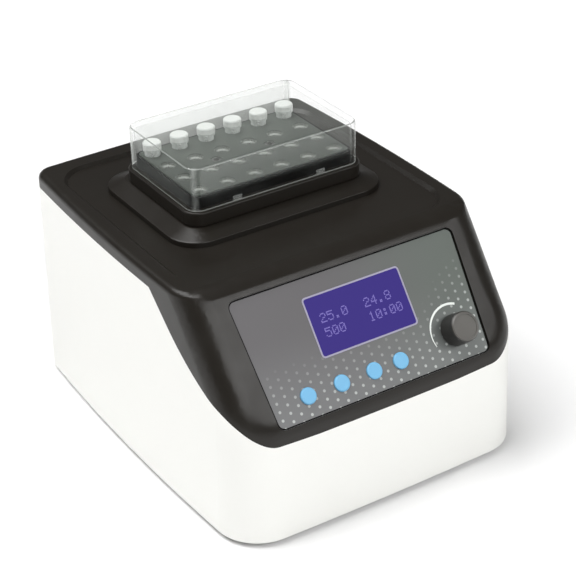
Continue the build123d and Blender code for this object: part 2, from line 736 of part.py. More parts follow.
def make_fuse_drawer():
    face_y = REAR_SEAT_Y + FLANGE_T
    drawer = drawer_block(0, face_y - DRAWER_L, face_y + DRAWER_PROUD)
    z = INLET_Z - DRAWER_DROP
    tray = slab(INLET_X - 8, INLET_X + 8, face_y - DRAWER_L + 2, face_y - 3, z - 1.6, z + DRAWER_H)
    return drawer - tray


def make_inlet_screws():
    face_y = REAR_SEAT_Y + FLANGE_T
    screws = []
    for sx in (-1, 1):
        x = INLET_X + sx * INLET_SCREW_DX
        head = rear_rod(SMALL_HEAD_R, face_y, face_y + 1.4, x, INLET_Z)
        screws.append(head + rear_rod(SMALL_SCREW_R, REAR_SEAT_Y - 6, face_y, x, INLET_Z))
    return group(screws)


# Mains switch: cell with a flange, and the rocker on its axle
def make_switch_cell():
    face_y = REAR_SEAT_Y + FLANGE_T
    cell_w = 2 * (ROCKER_HALF_W + ROCKER_GAP + ROCKER_WALL)
    flange_w = cell_w + 2 * ROCKER_FLANGE
    cell_h = 2 * (ROCKER_HALF_L + ROCKER_GAP + ROCKER_WALL)
    flange_h = cell_h + 2 * ROCKER_FLANGE
    flange = Pos(ROCKER_X, REAR_SEAT_Y + FLANGE_T / 2, ROCKER_Z) * Box(flange_w, FLANGE_T, flange_h)
    flange = fillet(flange.edges().filter_by(Axis.Y), 2)
    cell = Pos(ROCKER_X, face_y - ROCKER_CELL / 2, ROCKER_Z) * Box(cell_w, ROCKER_CELL, cell_h)
    room_w = 2 * (ROCKER_HALF_W + ROCKER_GAP)
    room_h = 2 * (ROCKER_HALF_L + ROCKER_GAP + ROCKER_WALL / 2)
    room_d = ROCKER_DEPTH + ROCKER_ROOT + 3
    room = Pos(ROCKER_X, face_y - room_d / 2, ROCKER_Z) * Box(room_w, room_d, room_h)
    axle_x = ROCKER_HALF_W + ROCKER_GAP + ROCKER_WALL / 2 + 0.1
    axle = Pos(ROCKER_X, face_y - ROCKER_DEPTH, ROCKER_Z) * Rot(0, 90, 0)
    return flange + cell - room - axle * Cylinder(ROCKER_AXLE_R + RUNNING_GAP, 2 * axle_x)


def make_rocker():
    rise = ROCKER_HALF_L * math.tan(math.radians(ROCKER_TILT))
    side = Polyline(
        (ROCKER_RISE, 0),
        (ROCKER_RISE + rise, ROCKER_HALF_L),
        (0, ROCKER_HALF_L),
        (-ROCKER_ROOT, ROCKER_HALF_L - 4),
        (-ROCKER_ROOT, -ROCKER_HALF_L + 4),
        (0, -ROCKER_HALF_L),
        (ROCKER_RISE + rise, -ROCKER_HALF_L),
        close=True,
    )
    body = extrude(Plane.YZ * make_face(side), ROCKER_HALF_W, both=True)
    axle_x = ROCKER_HALF_W + ROCKER_GAP + ROCKER_WALL / 2
    body = body + Rot(0, 90, 0) * Cylinder(ROCKER_AXLE_R, 2 * axle_x)
    place = Pos(ROCKER_X, REAR_SEAT_Y + FLANGE_T - ROCKER_DEPTH, ROCKER_Z)
    return place * Rot(-ROCKER_TILT, 0, 0) * body


# Fan: square frame with a hub on struts, and a bladed rotor
def make_fan_frame():
    low = FAN_SEAT_Y - FAN_T
    frame = extrude(RectangleRounded(FAN_SIDE, FAN_SIDE, 4), FAN_T) - extrude(Circle(FAN_BORE_R), FAN_T)
    frame = frame + extrude(Circle(FAN_HUB_R), FAN_BASE_T)
    for i in range(3):
        arm = Pos(FAN_BORE_R / 2 + 2, 0, FAN_BASE_T / 2) * Box(FAN_BORE_R, FAN_STRUT_W, FAN_BASE_T)
        frame = frame + Rot(0, 0, 90 + i * 120) * arm
    frame = frame - extrude(Circle(FAN_AXLE_R + RUNNING_GAP), FAN_BASE_T)
    for x, y in corners(FAN_HOLE, FAN_HOLE):
        frame = frame - Pos(x, y, 0) * extrude(Circle(FAN_SCREW_R), FAN_T)
    return Pos(FAN_X, low, FAN_Z) * Rot(-90, 0, 0) * frame


def make_fan_rotor():
    low = FAN_SEAT_Y - FAN_T
    hub_h = FAN_T - FAN_BASE_T - 1.5
    tip_r = FAN_BORE_R - FAN_TIP_GAP
    rotor = Pos(0, 0, FAN_BASE_T + 0.5 + hub_h / 2) * Cylinder(FAN_HUB_R, hub_h)
    blade_mid = FAN_BASE_T + 0.5 + hub_h / 2
    chord = (hub_h - 1) / math.sin(math.radians(FAN_BLADE_DEG))
    reach = tip_r - FAN_HUB_R + 3
    blade = Pos(FAN_HUB_R - 3 + reach / 2, 0, 0) * Rot(FAN_BLADE_DEG, 0, 0) * Box(reach, chord, FAN_BLADE_T)
    limit = Pos(0, 0, blade_mid) * Cylinder(tip_r, hub_h - 0.4)
    blade = Pos(0, 0, blade_mid) * blade & limit
    for i in range(FAN_BLADES):
        rotor = rotor + Rot(0, 0, i * 360 / FAN_BLADES) * blade
    rotor = rotor + rod(FAN_AXLE_R, 0.4, FAN_BASE_T + 1)
    return Pos(FAN_X, low, FAN_Z) * Rot(-90, 0, 0) * rotor


def make_fan_screws():
    low = FAN_SEAT_Y - FAN_T
    screws = []
    for x, z in corners(FAN_HOLE, FAN_HOLE):
        head = rear_rod(FAN_SCREW_R + 1.4, low - 2, low, FAN_X + x, FAN_Z + z)
        screws.append(head + rear_rod(FAN_SCREW_R, low, FAN_SEAT_Y + 2.5, FAN_X + x, FAN_Z + z))
    return group(screws)


# Plate that carries the motor and the lower idler bearings
def make_mount_plate():
    plate = rounded_slab(PLATE_HALF_W, PLATE_HALF_D, 8, PLATE_Z, PLATE_TOP_Z, y=DRIVE_Y)
    plate = plate - rod(MAIN_BEARING_R, PLATE_Z, PLATE_TOP_Z, 0, DRIVE_Y)
    for x, y in corners(IDLER_X, IDLER_DY, DRIVE_Y):
        plate = plate - rod(IDLER_BEARING_R, PLATE_Z, PLATE_TOP_Z, x, y)
    for x, y in corners(PILLAR_X, PILLAR_DY, DRIVE_Y):
        plate = plate - rod(CASE_SCREW_R, PLATE_Z, PLATE_TOP_Z, x, y)
    for x, y in motor_screw_spots():
        plate = plate - rod(SMALL_SCREW_R, PLATE_Z, PLATE_TOP_Z - 1, x, y)
    return plate


def motor_screw_spots():
    r = (MOTOR_R + MOTOR_FLANGE_R) / 2
    turns = [math.radians(45 + 90 * i) for i in range(4)]
    return [(r * math.cos(a), DRIVE_Y + r * math.sin(a)) for a in turns]


def make_pillars():
    pillars = []
    for x, y in corners(PILLAR_X, PILLAR_DY, DRIVE_Y):
        pillar = extrude(Pos(x, y, BASE_TOP_Z) * RegularPolygon(PILLAR_R, 6), PLATE_Z - BASE_TOP_Z)
        pillars.append(pillar - rod(CASE_SCREW_R, PLATE_Z - 12, PLATE_Z, x, y))
    return group(pillars)


def make_pillar_screws():
    spots = corners(PILLAR_X, PILLAR_DY, DRIVE_Y)
    length = PLATE_T + 10
    return group([downward_screw(x, y, PLATE_TOP_Z, length, CASE_SCREW_R, CASE_HEAD_R, CASE_HEAD_H) for x, y in spots])


def make_motor_housing():
    can = rod(MOTOR_R, MOTOR_Z, PLATE_Z, 0, DRIVE_Y)
    can = can + rod(MOTOR_FLANGE_R, PLATE_Z - MOTOR_FLANGE_T, PLATE_Z, 0, DRIVE_Y)
    can = can - rod(MOTOR_R - MOTOR_WALL, MOTOR_Z + MOTOR_END_T, PLATE_Z, 0, DRIVE_Y)
    can = can - rod(TAIL_BEARING_R, MOTOR_Z, MOTOR_Z + MOTOR_END_T, 0, DRIVE_Y)
    for x, y in motor_screw_spots():
        can = can - rod(SMALL_SCREW_R, PLATE_Z - MOTOR_FLANGE_T, PLATE_Z, x, y)
    return can


def make_motor_screws():
    seat = PLATE_Z - MOTOR_FLANGE_T
    length = MOTOR_FLANGE_T + PLATE_T - 2
    return group([upward_screw(x, y, seat, length, SMALL_SCREW_R, SMALL_HEAD_R, SMALL_HEAD_H) for x, y in motor_screw_spots()])


def make_stator():
    core = ring(MOTOR_R - MOTOR_WALL, ROTOR_R + AIR_GAP, ROTOR_Z, ROTOR_Z + ROTOR_H, 0, DRIVE_Y)
    slot_r = (MOTOR_R - MOTOR_WALL + ROTOR_R + AIR_GAP) / 2
    for i in range(9):
        a = math.radians(40 * i)
        x = slot_r * math.cos(a)
        y = DRIVE_Y + slot_r * math.sin(a)
        core = core - rod(2.4, ROTOR_Z, ROTOR_Z + ROTOR_H, x, y)
    return core


def make_main_bearings():
    bore = SHAFT_R + RUNNING_GAP
    head = ring(MAIN_BEARING_R, bore, PLATE_Z, PLATE_TOP_Z, 0, DRIVE_Y)
    tail = ring(TAIL_BEARING_R, bore, MOTOR_Z, MOTOR_Z + MOTOR_END_T, 0, DRIVE_Y)
    return group([head, tail])


def make_idler_bearings(z_low, thickness, y_shift):
    bore = IDLER_JOURNAL_R + RUNNING_GAP
    spots = corners(IDLER_X, IDLER_DY, DRIVE_Y + y_shift)
    return group([ring(IDLER_BEARING_R, bore, z_low, z_low + thickness, x, y) for x, y in spots])


# Parts that turn with the drive shaft
def make_drive_shaft():
    flange_low = PLATE_TOP_Z + WEB_LIFT + WEIGHT_T
    shaft = rod(SHAFT_R, MOTOR_Z + 1, flange_low, 0, DRIVE_Y)
    shaft = shaft + rod(SHAFT_FLANGE_R, flange_low, flange_low + SHAFT_FLANGE_T, 0, DRIVE_Y)
    return shaft + rod(PIN_R, flange_low + SHAFT_FLANGE_T, JOURNAL_END_Z, 0, DRIVE_Y + ORBIT_R)


def make_rotor():
    return ring(ROTOR_R, SHAFT_R, ROTOR_Z, ROTOR_Z + ROTOR_H, 0, DRIVE_Y)


def make_counterweight():
    low = PLATE_TOP_Z + WEB_LIFT
    weight = rod(WEIGHT_R, low, low + WEIGHT_T, 0, DRIVE_Y)
    far = 2 * WEIGHT_R
    weight = weight - slab(-far, far, DRIVE_Y - 2, DRIVE_Y + far, low, low + WEIGHT_T)
    weight = weight + rod(WEIGHT_HUB_R, low, low + WEIGHT_T, 0, DRIVE_Y)
    return weight - rod(SHAFT_R, low, low + WEIGHT_T, 0, DRIVE_Y)


def make_idler(x, y):
    web_low = PLATE_TOP_Z + WEB_LIFT
    web_high = web_low + IDLER_WEB_T
    idler = rod(IDLER_JOURNAL_R, PLATE_Z - 1, web_low, x, y)
    idler = idler + rod(IDLER_WEB_R, web_low, web_high, x, y + ORBIT_R / 2)
    return idler + rod(IDLER_JOURNAL_R, web_high, JOURNAL_END_Z, x, y + ORBIT_R)


# Orbiting platform and all that it carries
def make_platform():
    half_w = COLLAR_HALF_W + PLATFORM_MARGIN
    half_d = COLLAR_HALF_D + PLATFORM_MARGIN
    plate = rounded_slab(half_w, half_d, COLLAR_CORNER_R, PLATFORM_Z, PAD_Z)
    plate = plate - rod(PIN_BEARING_R, PLATFORM_Z, PAD_Z, 0, BLOCK_Y)
    for x, y in corners(IDLER_X, IDLER_DY, BLOCK_Y):
        plate = plate - rod(IDLER_BEARING_R, PLATFORM_Z, PAD_Z, x, y)
    return plate


def make_pin_bearing():
    return ring(PIN_BEARING_R, PIN_R + RUNNING_GAP, PLATFORM_Z, PAD_Z, 0, BLOCK_Y)


def make_pad():
    return rounded_slab(BLOCK_HALF_W, BLOCK_HALF_D, BLOCK_CORNER_R, PAD_Z, FILM_Z)


def make_film():
    half_w = BLOCK_HALF_W - FILM_INSET
    half_d = BLOCK_HALF_D - FILM_INSET
    return rounded_slab(half_w, half_d, BLOCK_CORNER_R, FILM_Z, HEATER_Z)


def block_screw_spots():
    return [(-WELL_PITCH, BLOCK_Y), (WELL_PITCH, BLOCK_Y)]


def sensor_rod():
    x_high = BLOCK_HALF_W
    place = Pos(x_high - SENSOR_L / 2, BLOCK_Y, HEATER_Z + HEATER_T / 2) * Rot(0, 90, 0)
    return place * Cylinder(SENSOR_R, SENSOR_L)


def make_heater_plate():
    plate = rounded_slab(BLOCK_HALF_W, BLOCK_HALF_D, BLOCK_CORNER_R, HEATER_Z, BLOCK_Z) - sensor_rod()
    for x, y in block_screw_spots():
        plate = plate - rod(BLOCK_SCREW_R, HEATER_Z + 1, BLOCK_Z, x, y)
    return plate


def well_spots():
    spots = []
    for row in range(WELL_ROWS):
        for column in range(WELL_COLUMNS):
            x = (column - (WELL_COLUMNS - 1) / 2) * WELL_PITCH
            y = BLOCK_Y + ((WELL_ROWS - 1) / 2 - row) * WELL_PITCH
            spots.append((x, y))
    return spots


def make_block():
    block = rounded_slab(BLOCK_HALF_W, BLOCK_HALF_D, BLOCK_CORNER_R, BLOCK_Z, BLOCK_TOP_Z)
    straight_z = BLOCK_TOP_Z - WELL_DEPTH + WELL_TIP
    straight = Pos(0, 0, (straight_z + BLOCK_TOP_Z) / 2) * Cylinder(WELL_R, BLOCK_TOP_Z - straight_z)
    tip = Pos(0, 0, straight_z - WELL_TIP / 2) * Cone(WELL_R / 2, WELL_R, WELL_TIP)
    well = straight + tip
    block = block - [Pos(x, y, 0) * well for x, y in well_spots()]
    for x, y in block_screw_spots():
        block = block - rod(BLOCK_SCREW_R, BLOCK_Z, BLOCK_TOP_Z, x, y)
        block = block - rod(BLOCK_SCREW_HEAD_R, BLOCK_TOP_Z - BLOCK_SCREW_HEAD_H, BLOCK_TOP_Z, x, y)
    return block


def make_block_screws():
    screws = []
    seat = BLOCK_TOP_Z - BLOCK_SCREW_HEAD_H
    length = seat - HEATER_Z - 1.5
    for x, y in block_screw_spots():
        screw = downward_screw(x, y, seat, length, BLOCK_SCREW_R, BLOCK_SCREW_HEAD_R, BLOCK_SCREW_HEAD_H - 0.6)
        key = extrude(Pos(x, y, BLOCK_TOP_Z - 3) * RegularPolygon(1.9, 6), 3)
        screws.append(screw - key)
    return group(screws)


def make_collar():
    skirt_z = PLINTH_Z + COLLAR_LIFT
    lip_z = LEDGE_Z + COLLAR_LIP_H
    skirt = rounded_slab(SKIRT_HALF_W, SKIRT_HALF_D, COLLAR_CORNER_R + COLLAR_LEDGE, skirt_z, LEDGE_Z)
    skirt = fillet(skirt.faces().sort_by(Axis.Z)[-1].edges(), 1.2)
    room_w = SKIRT_HALF_W - COLLAR_SKIRT_T
    room_d = SKIRT_HALF_D - COLLAR_SKIRT_T
    room_r = COLLAR_CORNER_R + COLLAR_LEDGE - COLLAR_SKIRT_T
    skirt = skirt - rounded_slab(room_w, room_d, room_r, skirt_z, LEDGE_Z - COLLAR_SKIRT_T)
    tube = rounded_slab(COLLAR_HALF_W, COLLAR_HALF_D, COLLAR_CORNER_R, PAD_Z, lip_z)
    bore = rounded_slab(TUBE_IN_HALF_W, TUBE_IN_HALF_D, COLLAR_CORNER_R - COLLAR_WALL, PAD_Z, lip_z)
    return skirt + tube - bore


def make_lid():
    top = LEDGE_Z + LID_H
    lid = rounded_slab(LID_HALF_W, LID_HALF_D, COLLAR_CORNER_R + LID_GAP + LID_WALL, LEDGE_Z, top)
    lid = fillet(lid.faces().sort_by(Axis.Z)[-1].edges(), LID_EDGE_R)
    room = rounded_slab(
        LID_HALF_W - LID_WALL,
        LID_HALF_D - LID_WALL,
        COLLAR_CORNER_R + LID_GAP,
        LEDGE_Z,
        top - LID_TOP_T,
    )
    room = fillet(room.faces().sort_by(Axis.Z)[-1].edges(), 1.2)
    lid = lid - room
    for x in (-CATCH_X, CATCH_X):
        for side in (-1, 1):
            y = BLOCK_Y + side * (LID_HALF_D + CATCH_T / 2 - 0.1)
            lid = lid + Pos(x, y, LEDGE_Z + 1.2 + CATCH_H / 2) * Box(CATCH_W, CATCH_T + 0.2, CATCH_H)
    return lid


def tube_spots():
    return well_spots()[:WELL_COLUMNS]


def tube_profile(grow):
    top = BLOCK_TOP_Z + TUBE_SHOW
    cone_z = BLOCK_TOP_Z - WELL_DEPTH + WELL_TIP + 1
    tip_z = BLOCK_TOP_Z - WELL_DEPTH + 0.8
    r = TUBE_R - grow
    tip_r = WELL_R / 2 - 0.3 - grow
    return [(0, tip_z + grow), (tip_r, tip_z + grow), (r, cone_z), (r, top), (0, top)]


def make_tube(x, y):
    top = BLOCK_TOP_Z + TUBE_SHOW
    wall = revolve(Plane.XZ * make_face(Polyline(*tube_profile(0), close=True)), Axis.Z)
    room = revolve(Plane.XZ * make_face(Polyline(*tube_profile(TUBE_WALL), close=True)), Axis.Z)
    flange = rod(TUBE_FLANGE_R, top - TUBE_FLANGE_T, top)
    return Pos(x, y, 0) * (wall + flange - room)


def make_tube_cap(x, y):
    top = BLOCK_TOP_Z + TUBE_SHOW
    cap = rod(CAP_R, top, top + CAP_H)
    cap = fillet(cap.edges().sort_by(Axis.Z)[-1:], CAP_EDGE_R)
    return Pos(x, y, 0) * (cap + rod(TUBE_R - TUBE_WALL, top - 2.5, top))


# Boards and supply on the base plate
def make_main_board():
    x0, x1, y0, y1 = MAIN_BOARD
    z = BASE_TOP_Z + STANDOFF_H
    board = slab(x0, x1, y0, y1, z, z + BOARD_T)
    top = z + BOARD_T
    board = board + slab(x0 + 12, x0 + 40, y1 - 22, y1 - 12, top, top + 24)
    board = board + slab(x1 - 34, x1 - 12, y0 + 16, y0 + 36, top, top + 16)
    for i in range(3):
        board = board + rod(4, top, top + 14, x0 + 14 + 11 * i, y0 + 16)
    for x, y in board_spots():
        board = board - rod(SMALL_SCREW_R, z, z + BOARD_T, x, y)
    return board


def board_spots():
    x0, x1, y0, y1 = MAIN_BOARD
    inset = STANDOFF_INSET
    return [(x, y) for x in (x0 + inset, x1 - inset) for y in (y0 + inset, y1 - inset)]


def make_standoffs():
    high = BASE_TOP_Z + STANDOFF_H
    posts = []
    for x, y in board_spots():
        post = extrude(Pos(x, y, BASE_TOP_Z) * RegularPolygon(STANDOFF_R, 6), STANDOFF_H)
        posts.append(post + rod(SMALL_SCREW_R, high, high + BOARD_T + 1.5, x, y))
    return group(posts)


def make_supply():
    x0, x1, y0, y1 = SUPPLY
    z = BASE_TOP_Z
    t = SUPPLY_PAN_T
    pan = slab(x0, x1, y0, y1, z, z + SUPPLY_H) - slab(x0 - 1, x1 + 1, y0 + t, y1 - t, z + t, z + SUPPLY_H)
    board = slab(x0 + 1, x1 - 1, y0 + t, y1 - t, z + 6, z + 6 + BOARD_T)
    top = z + 6 + BOARD_T
    parts = board + slab(x0 + 30, x0 + 62, y0 + 12, y0 + 40, top, top + 22)
    parts = parts + rod(9, top, top + 24, x0 + 16, (y0 + y1) / 2)
    parts = parts + slab(x1 - 26, x1 - 16, y0 + 8, y1 - 8, top, top + 20)
    return pan + parts


def make_base_screws():
    spots = corners(CASE_BOSS_X, CASE_BOSS_Y)
    length = BASE_T + 12
    return group([upward_screw(x, y, BASE_Z, length, CASE_SCREW_R, CASE_HEAD_R, CASE_HEAD_H) for x, y in spots])


def make_cover_screws():
    seat = DECK_UNDER_Z - COVER_LUG_DROP - COVER_LUG_T
    length = COVER_LUG_T + COVER_LUG_DROP - 1
    spots = [(sx * COVER_BOSS_X, y) for sx in (-1, 1) for y in COVER_BOSS_YS]
    return group([upward_screw(x, y, seat, length, CASE_SCREW_R, CASE_HEAD_R, CASE_HEAD_H) for x, y in spots])


def build_nodes():
    outer = body_form(0, DECK_Z, RIM_PROUD, DECK_EDGE_R)
    inner = body_form(WALL, DECK_UNDER_Z, CONSOLE_INNER, 0)
    inner = inner + extrude(Pos(0, 0, BODY_Z - 2) * plan(WALL), 4)
    lower = below_split()
    nodes = {
        "housing_shell": make_housing(outer, inner, lower),
        "top_cover": make_cover(outer, inner, lower),
        "base_plate": make_base(),
        "rubber_feet": group([make_foot(x, y) for x, y in corners(FOOT_X, FOOT_Y)]),
        "base_screws": make_base_screws(),
        "cover_screws": make_cover_screws(),
        "console_panel": make_panel(),
        "display_window": make_window(),
        "display_module": make_display_module(),
        "control_board": make_control_board(),
        "control_board_screws": make_control_screws(),
        "button_switches": make_switches(),
        "encoder_body": make_encoder(),
        "encoder_nut": make_bush_nut(),
        "encoder_push_rod": make_push_rod(),
        "encoder_shaft": make_encoder_shaft(),
        "control_knob": make_knob(),
        "power_inlet": make_inlet(),
        "fuse_drawer": make_fuse_drawer(),
        "inlet_screws": make_inlet_screws(),
        "switch_cell": make_switch_cell(),
        "power_rocker": make_rocker(),
        "fan_frame": make_fan_frame(),
        "fan_rotor": make_fan_rotor(),
        "fan_screws": make_fan_screws(),
        "mount_plate": make_mount_plate(),
        "mount_pillars": make_pillars(),
        "pillar_screws": make_pillar_screws(),
        "motor_housing": make_motor_housing(),
        "motor_screws": make_motor_screws(),
        "motor_stator": make_stator(),
        "main_bearings": make_main_bearings(),
        "idler_bearings_lower": make_idler_bearings(PLATE_Z, PLATE_T, 0),
        "drive_shaft": make_drive_shaft(),
        "motor_rotor": make_rotor(),
        "counterweight": make_counterweight(),
        "platform_plate": make_platform(),
        "platform_bearing": make_pin_bearing(),
        "idler_bearings_upper": make_idler_bearings(PLATFORM_Z, PLATFORM_T, ORBIT_R),
        "insulation_pad": make_pad(),
        "heater_film": make_film(),
        "heater_plate": make_heater_plate(),
        "temperature_sensor": sensor_rod(),
        "heating_block": make_block(),
        "block_screws": make_block_screws(),
        "block_collar": make_collar(),
        "sample_tubes": group([make_tube(x, y) for x, y in tube_spots()]),
        "tube_caps": group([make_tube_cap(x, y) for x, y in tube_spots()]),
        "lid": make_lid(),
        "main_board": make_main_board(),
        "board_standoffs": make_standoffs(),
        "power_supply": make_supply(),
    }
    for i, u in enumerate(BUTTON_US):
        nodes[f"button_{i + 1}"] = make_button(u)
    for i, (x, y) in enumerate(corners(IDLER_X, IDLER_DY, DRIVE_Y)):
        nodes[f"idler_crank_{i + 1}"] = make_idler(x, y)
    return nodes


os.makedirs("parts", exist_ok=True)
for name, shape in build_nodes().items():
    export_step(shape, f"parts/{name}.step")
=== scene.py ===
import math

import bmesh
import bpy
from mathutils import Matrix, Vector


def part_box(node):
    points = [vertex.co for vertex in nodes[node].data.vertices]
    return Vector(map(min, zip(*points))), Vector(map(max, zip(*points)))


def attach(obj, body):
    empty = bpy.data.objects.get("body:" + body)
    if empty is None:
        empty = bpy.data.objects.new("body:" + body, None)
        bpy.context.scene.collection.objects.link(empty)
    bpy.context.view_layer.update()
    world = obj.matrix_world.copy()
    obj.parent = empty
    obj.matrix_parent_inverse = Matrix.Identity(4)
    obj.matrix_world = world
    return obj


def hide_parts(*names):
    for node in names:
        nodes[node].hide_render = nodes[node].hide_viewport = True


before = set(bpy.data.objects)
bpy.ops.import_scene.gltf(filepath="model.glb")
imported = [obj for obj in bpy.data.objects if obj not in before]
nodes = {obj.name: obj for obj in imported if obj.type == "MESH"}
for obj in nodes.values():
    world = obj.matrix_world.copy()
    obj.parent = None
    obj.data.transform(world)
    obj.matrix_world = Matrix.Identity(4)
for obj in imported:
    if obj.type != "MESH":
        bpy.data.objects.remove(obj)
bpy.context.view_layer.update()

MM = 0.001

# Camera, solved from the photograph in its 576 x 576 frame
FRAME_PX = 576.0
CAM_AZIMUTH = -31.81
CAM_ELEVATION = 30.43
CAM_ROLL = -1.70
CAM_DISTANCE = 1.19775
CAM_TARGET = Vector((0.0086, -0.00671, 0.09212))
CAM_FOCAL_PX = 1758.33

# Console plane: the panel's outer face, from the same values as the solids
CONSOLE_DEG = 52.2
CONSOLE_ORIGIN = Vector((0.0, -137.0, 83.5)) * MM
PANEL_H = 84.8 * MM
UP_SLOPE = Vector((0.0, math.cos(math.radians(CONSOLE_DEG)), math.sin(math.radians(CONSOLE_DEG))))
OUTWARD = Vector((0.0, -math.sin(math.radians(CONSOLE_DEG)), math.cos(math.radians(CONSOLE_DEG))))
ACROSS = Vector((1.0, 0.0, 0.0))

DISPLAY_U = 0.8 * MM
DISPLAY_V = 52.3 * MM
DISPLAY_W = 73.0 * MM
DISPLAY_H = 39.4 * MM
KNOB_U = 60.5 * MM
KNOB_V = 20.4 * MM


def on_console(u, v, w=0.0):
    return CONSOLE_ORIGIN + ACROSS * u + UP_SLOPE * v + OUTWARD * w


# Node helpers for the procedural materials
class Recipe:
    def __init__(self, name):
        self.mat = bpy.data.materials.new(name)
        self.mat.use_nodes = True
        self.tree = self.mat.node_tree
        self.shader = self.tree.nodes["Principled BSDF"]

    def node(self, kind, **values):
        made = self.tree.nodes.new(kind)
        for key, value in values.items():
            setattr(made, key, value)
        return made

    def link(self, source, target):
        self.tree.links.new(source, target)

    def put(self, socket, value):
        if hasattr(value, "links"):
            self.link(value, socket)
        else:
            socket.default_value = value

    def set(self, **values):
        for key, value in values.items():
            self.put(self.shader.inputs[key.replace("_", " ")], value)
        return self

    def math(self, operation, a, b=0.0, c=0.0, clamp=False):
        made = self.node("ShaderNodeMath", operation=operation, use_clamp=clamp)
        self.put(made.inputs[0], a)
        self.put(made.inputs[1], b)
        self.put(made.inputs[2], c)
        return made.outputs[0]

    def times(self, a, b):
        return self.math("MULTIPLY", a, b)

    def length(self, a, b):
        return self.math("SQRT", self.math("ADD", self.times(a, a), self.times(b, b)))

    def place(self):
        return self.node("ShaderNodeTexCoord").outputs["Object"]

    def dot(self, vector, direction):
        made = self.node("ShaderNodeVectorMath", operation="DOT_PRODUCT")
        self.link(vector, made.inputs[0])
        made.inputs[1].default_value = direction
        return made.outputs["Value"]

    def noise(self, scale, detail=3.0, rough=0.55):
        made = self.node("ShaderNodeTexNoise")
        self.link(self.place(), made.inputs["Vector"])
        made.inputs["Scale"].default_value = scale
        made.inputs["Detail"].default_value = detail
        made.inputs["Roughness"].default_value = rough
        return made.outputs["Fac"]

    def ramp(self, value, low, high, to_low=0.0, to_high=1.0, smooth=False):
        made = self.node("ShaderNodeMapRange", clamp=True)
        if smooth:
            made.interpolation_type = "SMOOTHSTEP"
        self.put(made.inputs["Value"], value)
        self.put(made.inputs["From Min"], low)
        self.put(made.inputs["From Max"], high)
        self.put(made.inputs["To Min"], to_low)
        self.put(made.inputs["To Max"], to_high)
        return made.outputs["Result"]

    def fade(self, value, full, none):
        """1 up to the first distance and 0 from the second one on, both in millimetres."""
        return self.ramp(value, full * MM, none * MM, 1.0, 0.0)

    def rise(self, value, none, full):
        """0 up to the first distance and 1 from the second one on, both in millimetres."""
        return self.ramp(value, none * MM, full * MM, 0.0, 1.0)

    def mix(self, factor, a, b):
        made = self.node("ShaderNodeMix", data_type="RGBA")
        self.put(made.inputs["Factor"], factor)
        self.put(made.inputs["A"], a)
        self.put(made.inputs["B"], b)
        return made.outputs["Result"]

    def bump(self, height, strength, depth):
        made = self.node("ShaderNodeBump")
        self.link(height, made.inputs["Height"])
        made.inputs["Strength"].default_value = strength
        made.inputs["Distance"].default_value = depth
        self.link(made.outputs["Normal"], self.shader.inputs["Normal"])
        return self


def rgb(red, green, blue):
    """Linear colour of a screen colour given in 0 to 255."""
    def linear(value):
        value /= 255.0
        return value / 12.92 if value <= 0.04045 else ((value + 0.055) / 1.055) ** 2.4
    return (linear(red), linear(green), linear(blue), 1.0)


def scaled(colour, factor):
    return (colour[0] * factor, colour[1] * factor, colour[2] * factor, 1.0)


# Moulded plastic: fine spark grain, faint clouding and a little uneven gloss
GRAIN_DEPTH = 0.03 * MM


def plastic(name, colour, rough, grain=900.0, grain_strength=0.25, cloud=0.04, gloss=0.5):
    m = Recipe(name)
    clouds = m.noise(14.0, 3.0)
    m.set(Base_Color=m.mix(clouds, scaled(colour, 1 - cloud), scaled(colour, 1 + cloud)))
    m.set(Roughness=m.ramp(m.noise(60.0, 4.0), 0.3, 0.7, rough - 0.04, rough + 0.04))
    m.set(Specular_IOR_Level=gloss)
    return m.bump(m.noise(grain, 2.0), grain_strength, GRAIN_DEPTH).mat


def metal(name, colour, rough, stretch=(1.0, 1.0, 1.0), grain=500.0):
    m = Recipe(name)
    mapping = m.node("ShaderNodeMapping")
    m.link(m.place(), mapping.inputs["Vector"])
    mapping.inputs["Scale"].default_value = stretch
    noise = m.node("ShaderNodeTexNoise")
    m.link(mapping.outputs["Vector"], noise.inputs["Vector"])
    noise.inputs["Scale"].default_value = grain
    fac = noise.outputs["Fac"]
    m.set(Base_Color=m.mix(fac, scaled(colour, 0.92), scaled(colour, 1.05)))
    m.set(Metallic=1.0, Roughness=m.ramp(fac, 0.3, 0.7, rough - 0.06, rough + 0.06))
    return m.bump(fac, 0.1, 0.02 * MM).mat


def assign(node_names, mat):
    for name in node_names:
        data = nodes[name].data
        data.materials.clear()
        data.materials.append(mat)


def new_piece(name, mesh, mat, body):
    obj = bpy.data.objects.new(name, mesh)
    bpy.context.scene.collection.objects.link(obj)
    mesh.materials.append(mat)
    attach(obj, body)
    return obj


# Screen-printed marks: thin plates standing a hair proud of the panel
PRINT_T = 0.06 * MM


def printed(name, outlines, mat, body="root", lift=0.0, thick=PRINT_T):
    """Outlines are lists of (u, v) points; each becomes a thin closed plate on the panel."""
    mesh = bpy.data.meshes.new(name)
    bm = bmesh.new()
    for outline in outlines:
        low = [bm.verts.new(on_console(u, v, lift)) for u, v in outline]
        high = [bm.verts.new(on_console(u, v, lift + thick)) for u, v in outline]
        bm.faces.new(high)
        bm.faces.new(low[::-1])
        count = len(outline)
        for i in range(count):
            j = (i + 1) % count
            bm.faces.new((low[i], low[j], high[j], high[i]))
    bm.to_mesh(mesh)
    bm.free()
    return new_piece(name, mesh, mat, body)


def rectangle(u0, v0, u1, v1):
    return [(u0, v0), (u1, v0), (u1, v1), (u0, v1)]


def band(path_outer, path_inner):
    """Closed ring between two outlines with the same number of points, as separate quads."""
    count = len(path_outer)
    quads = []
    for i in range(count):
        j = (i + 1) % count
        quads.append([path_outer[i], path_outer[j], path_inner[j], path_inner[i]])
    return quads


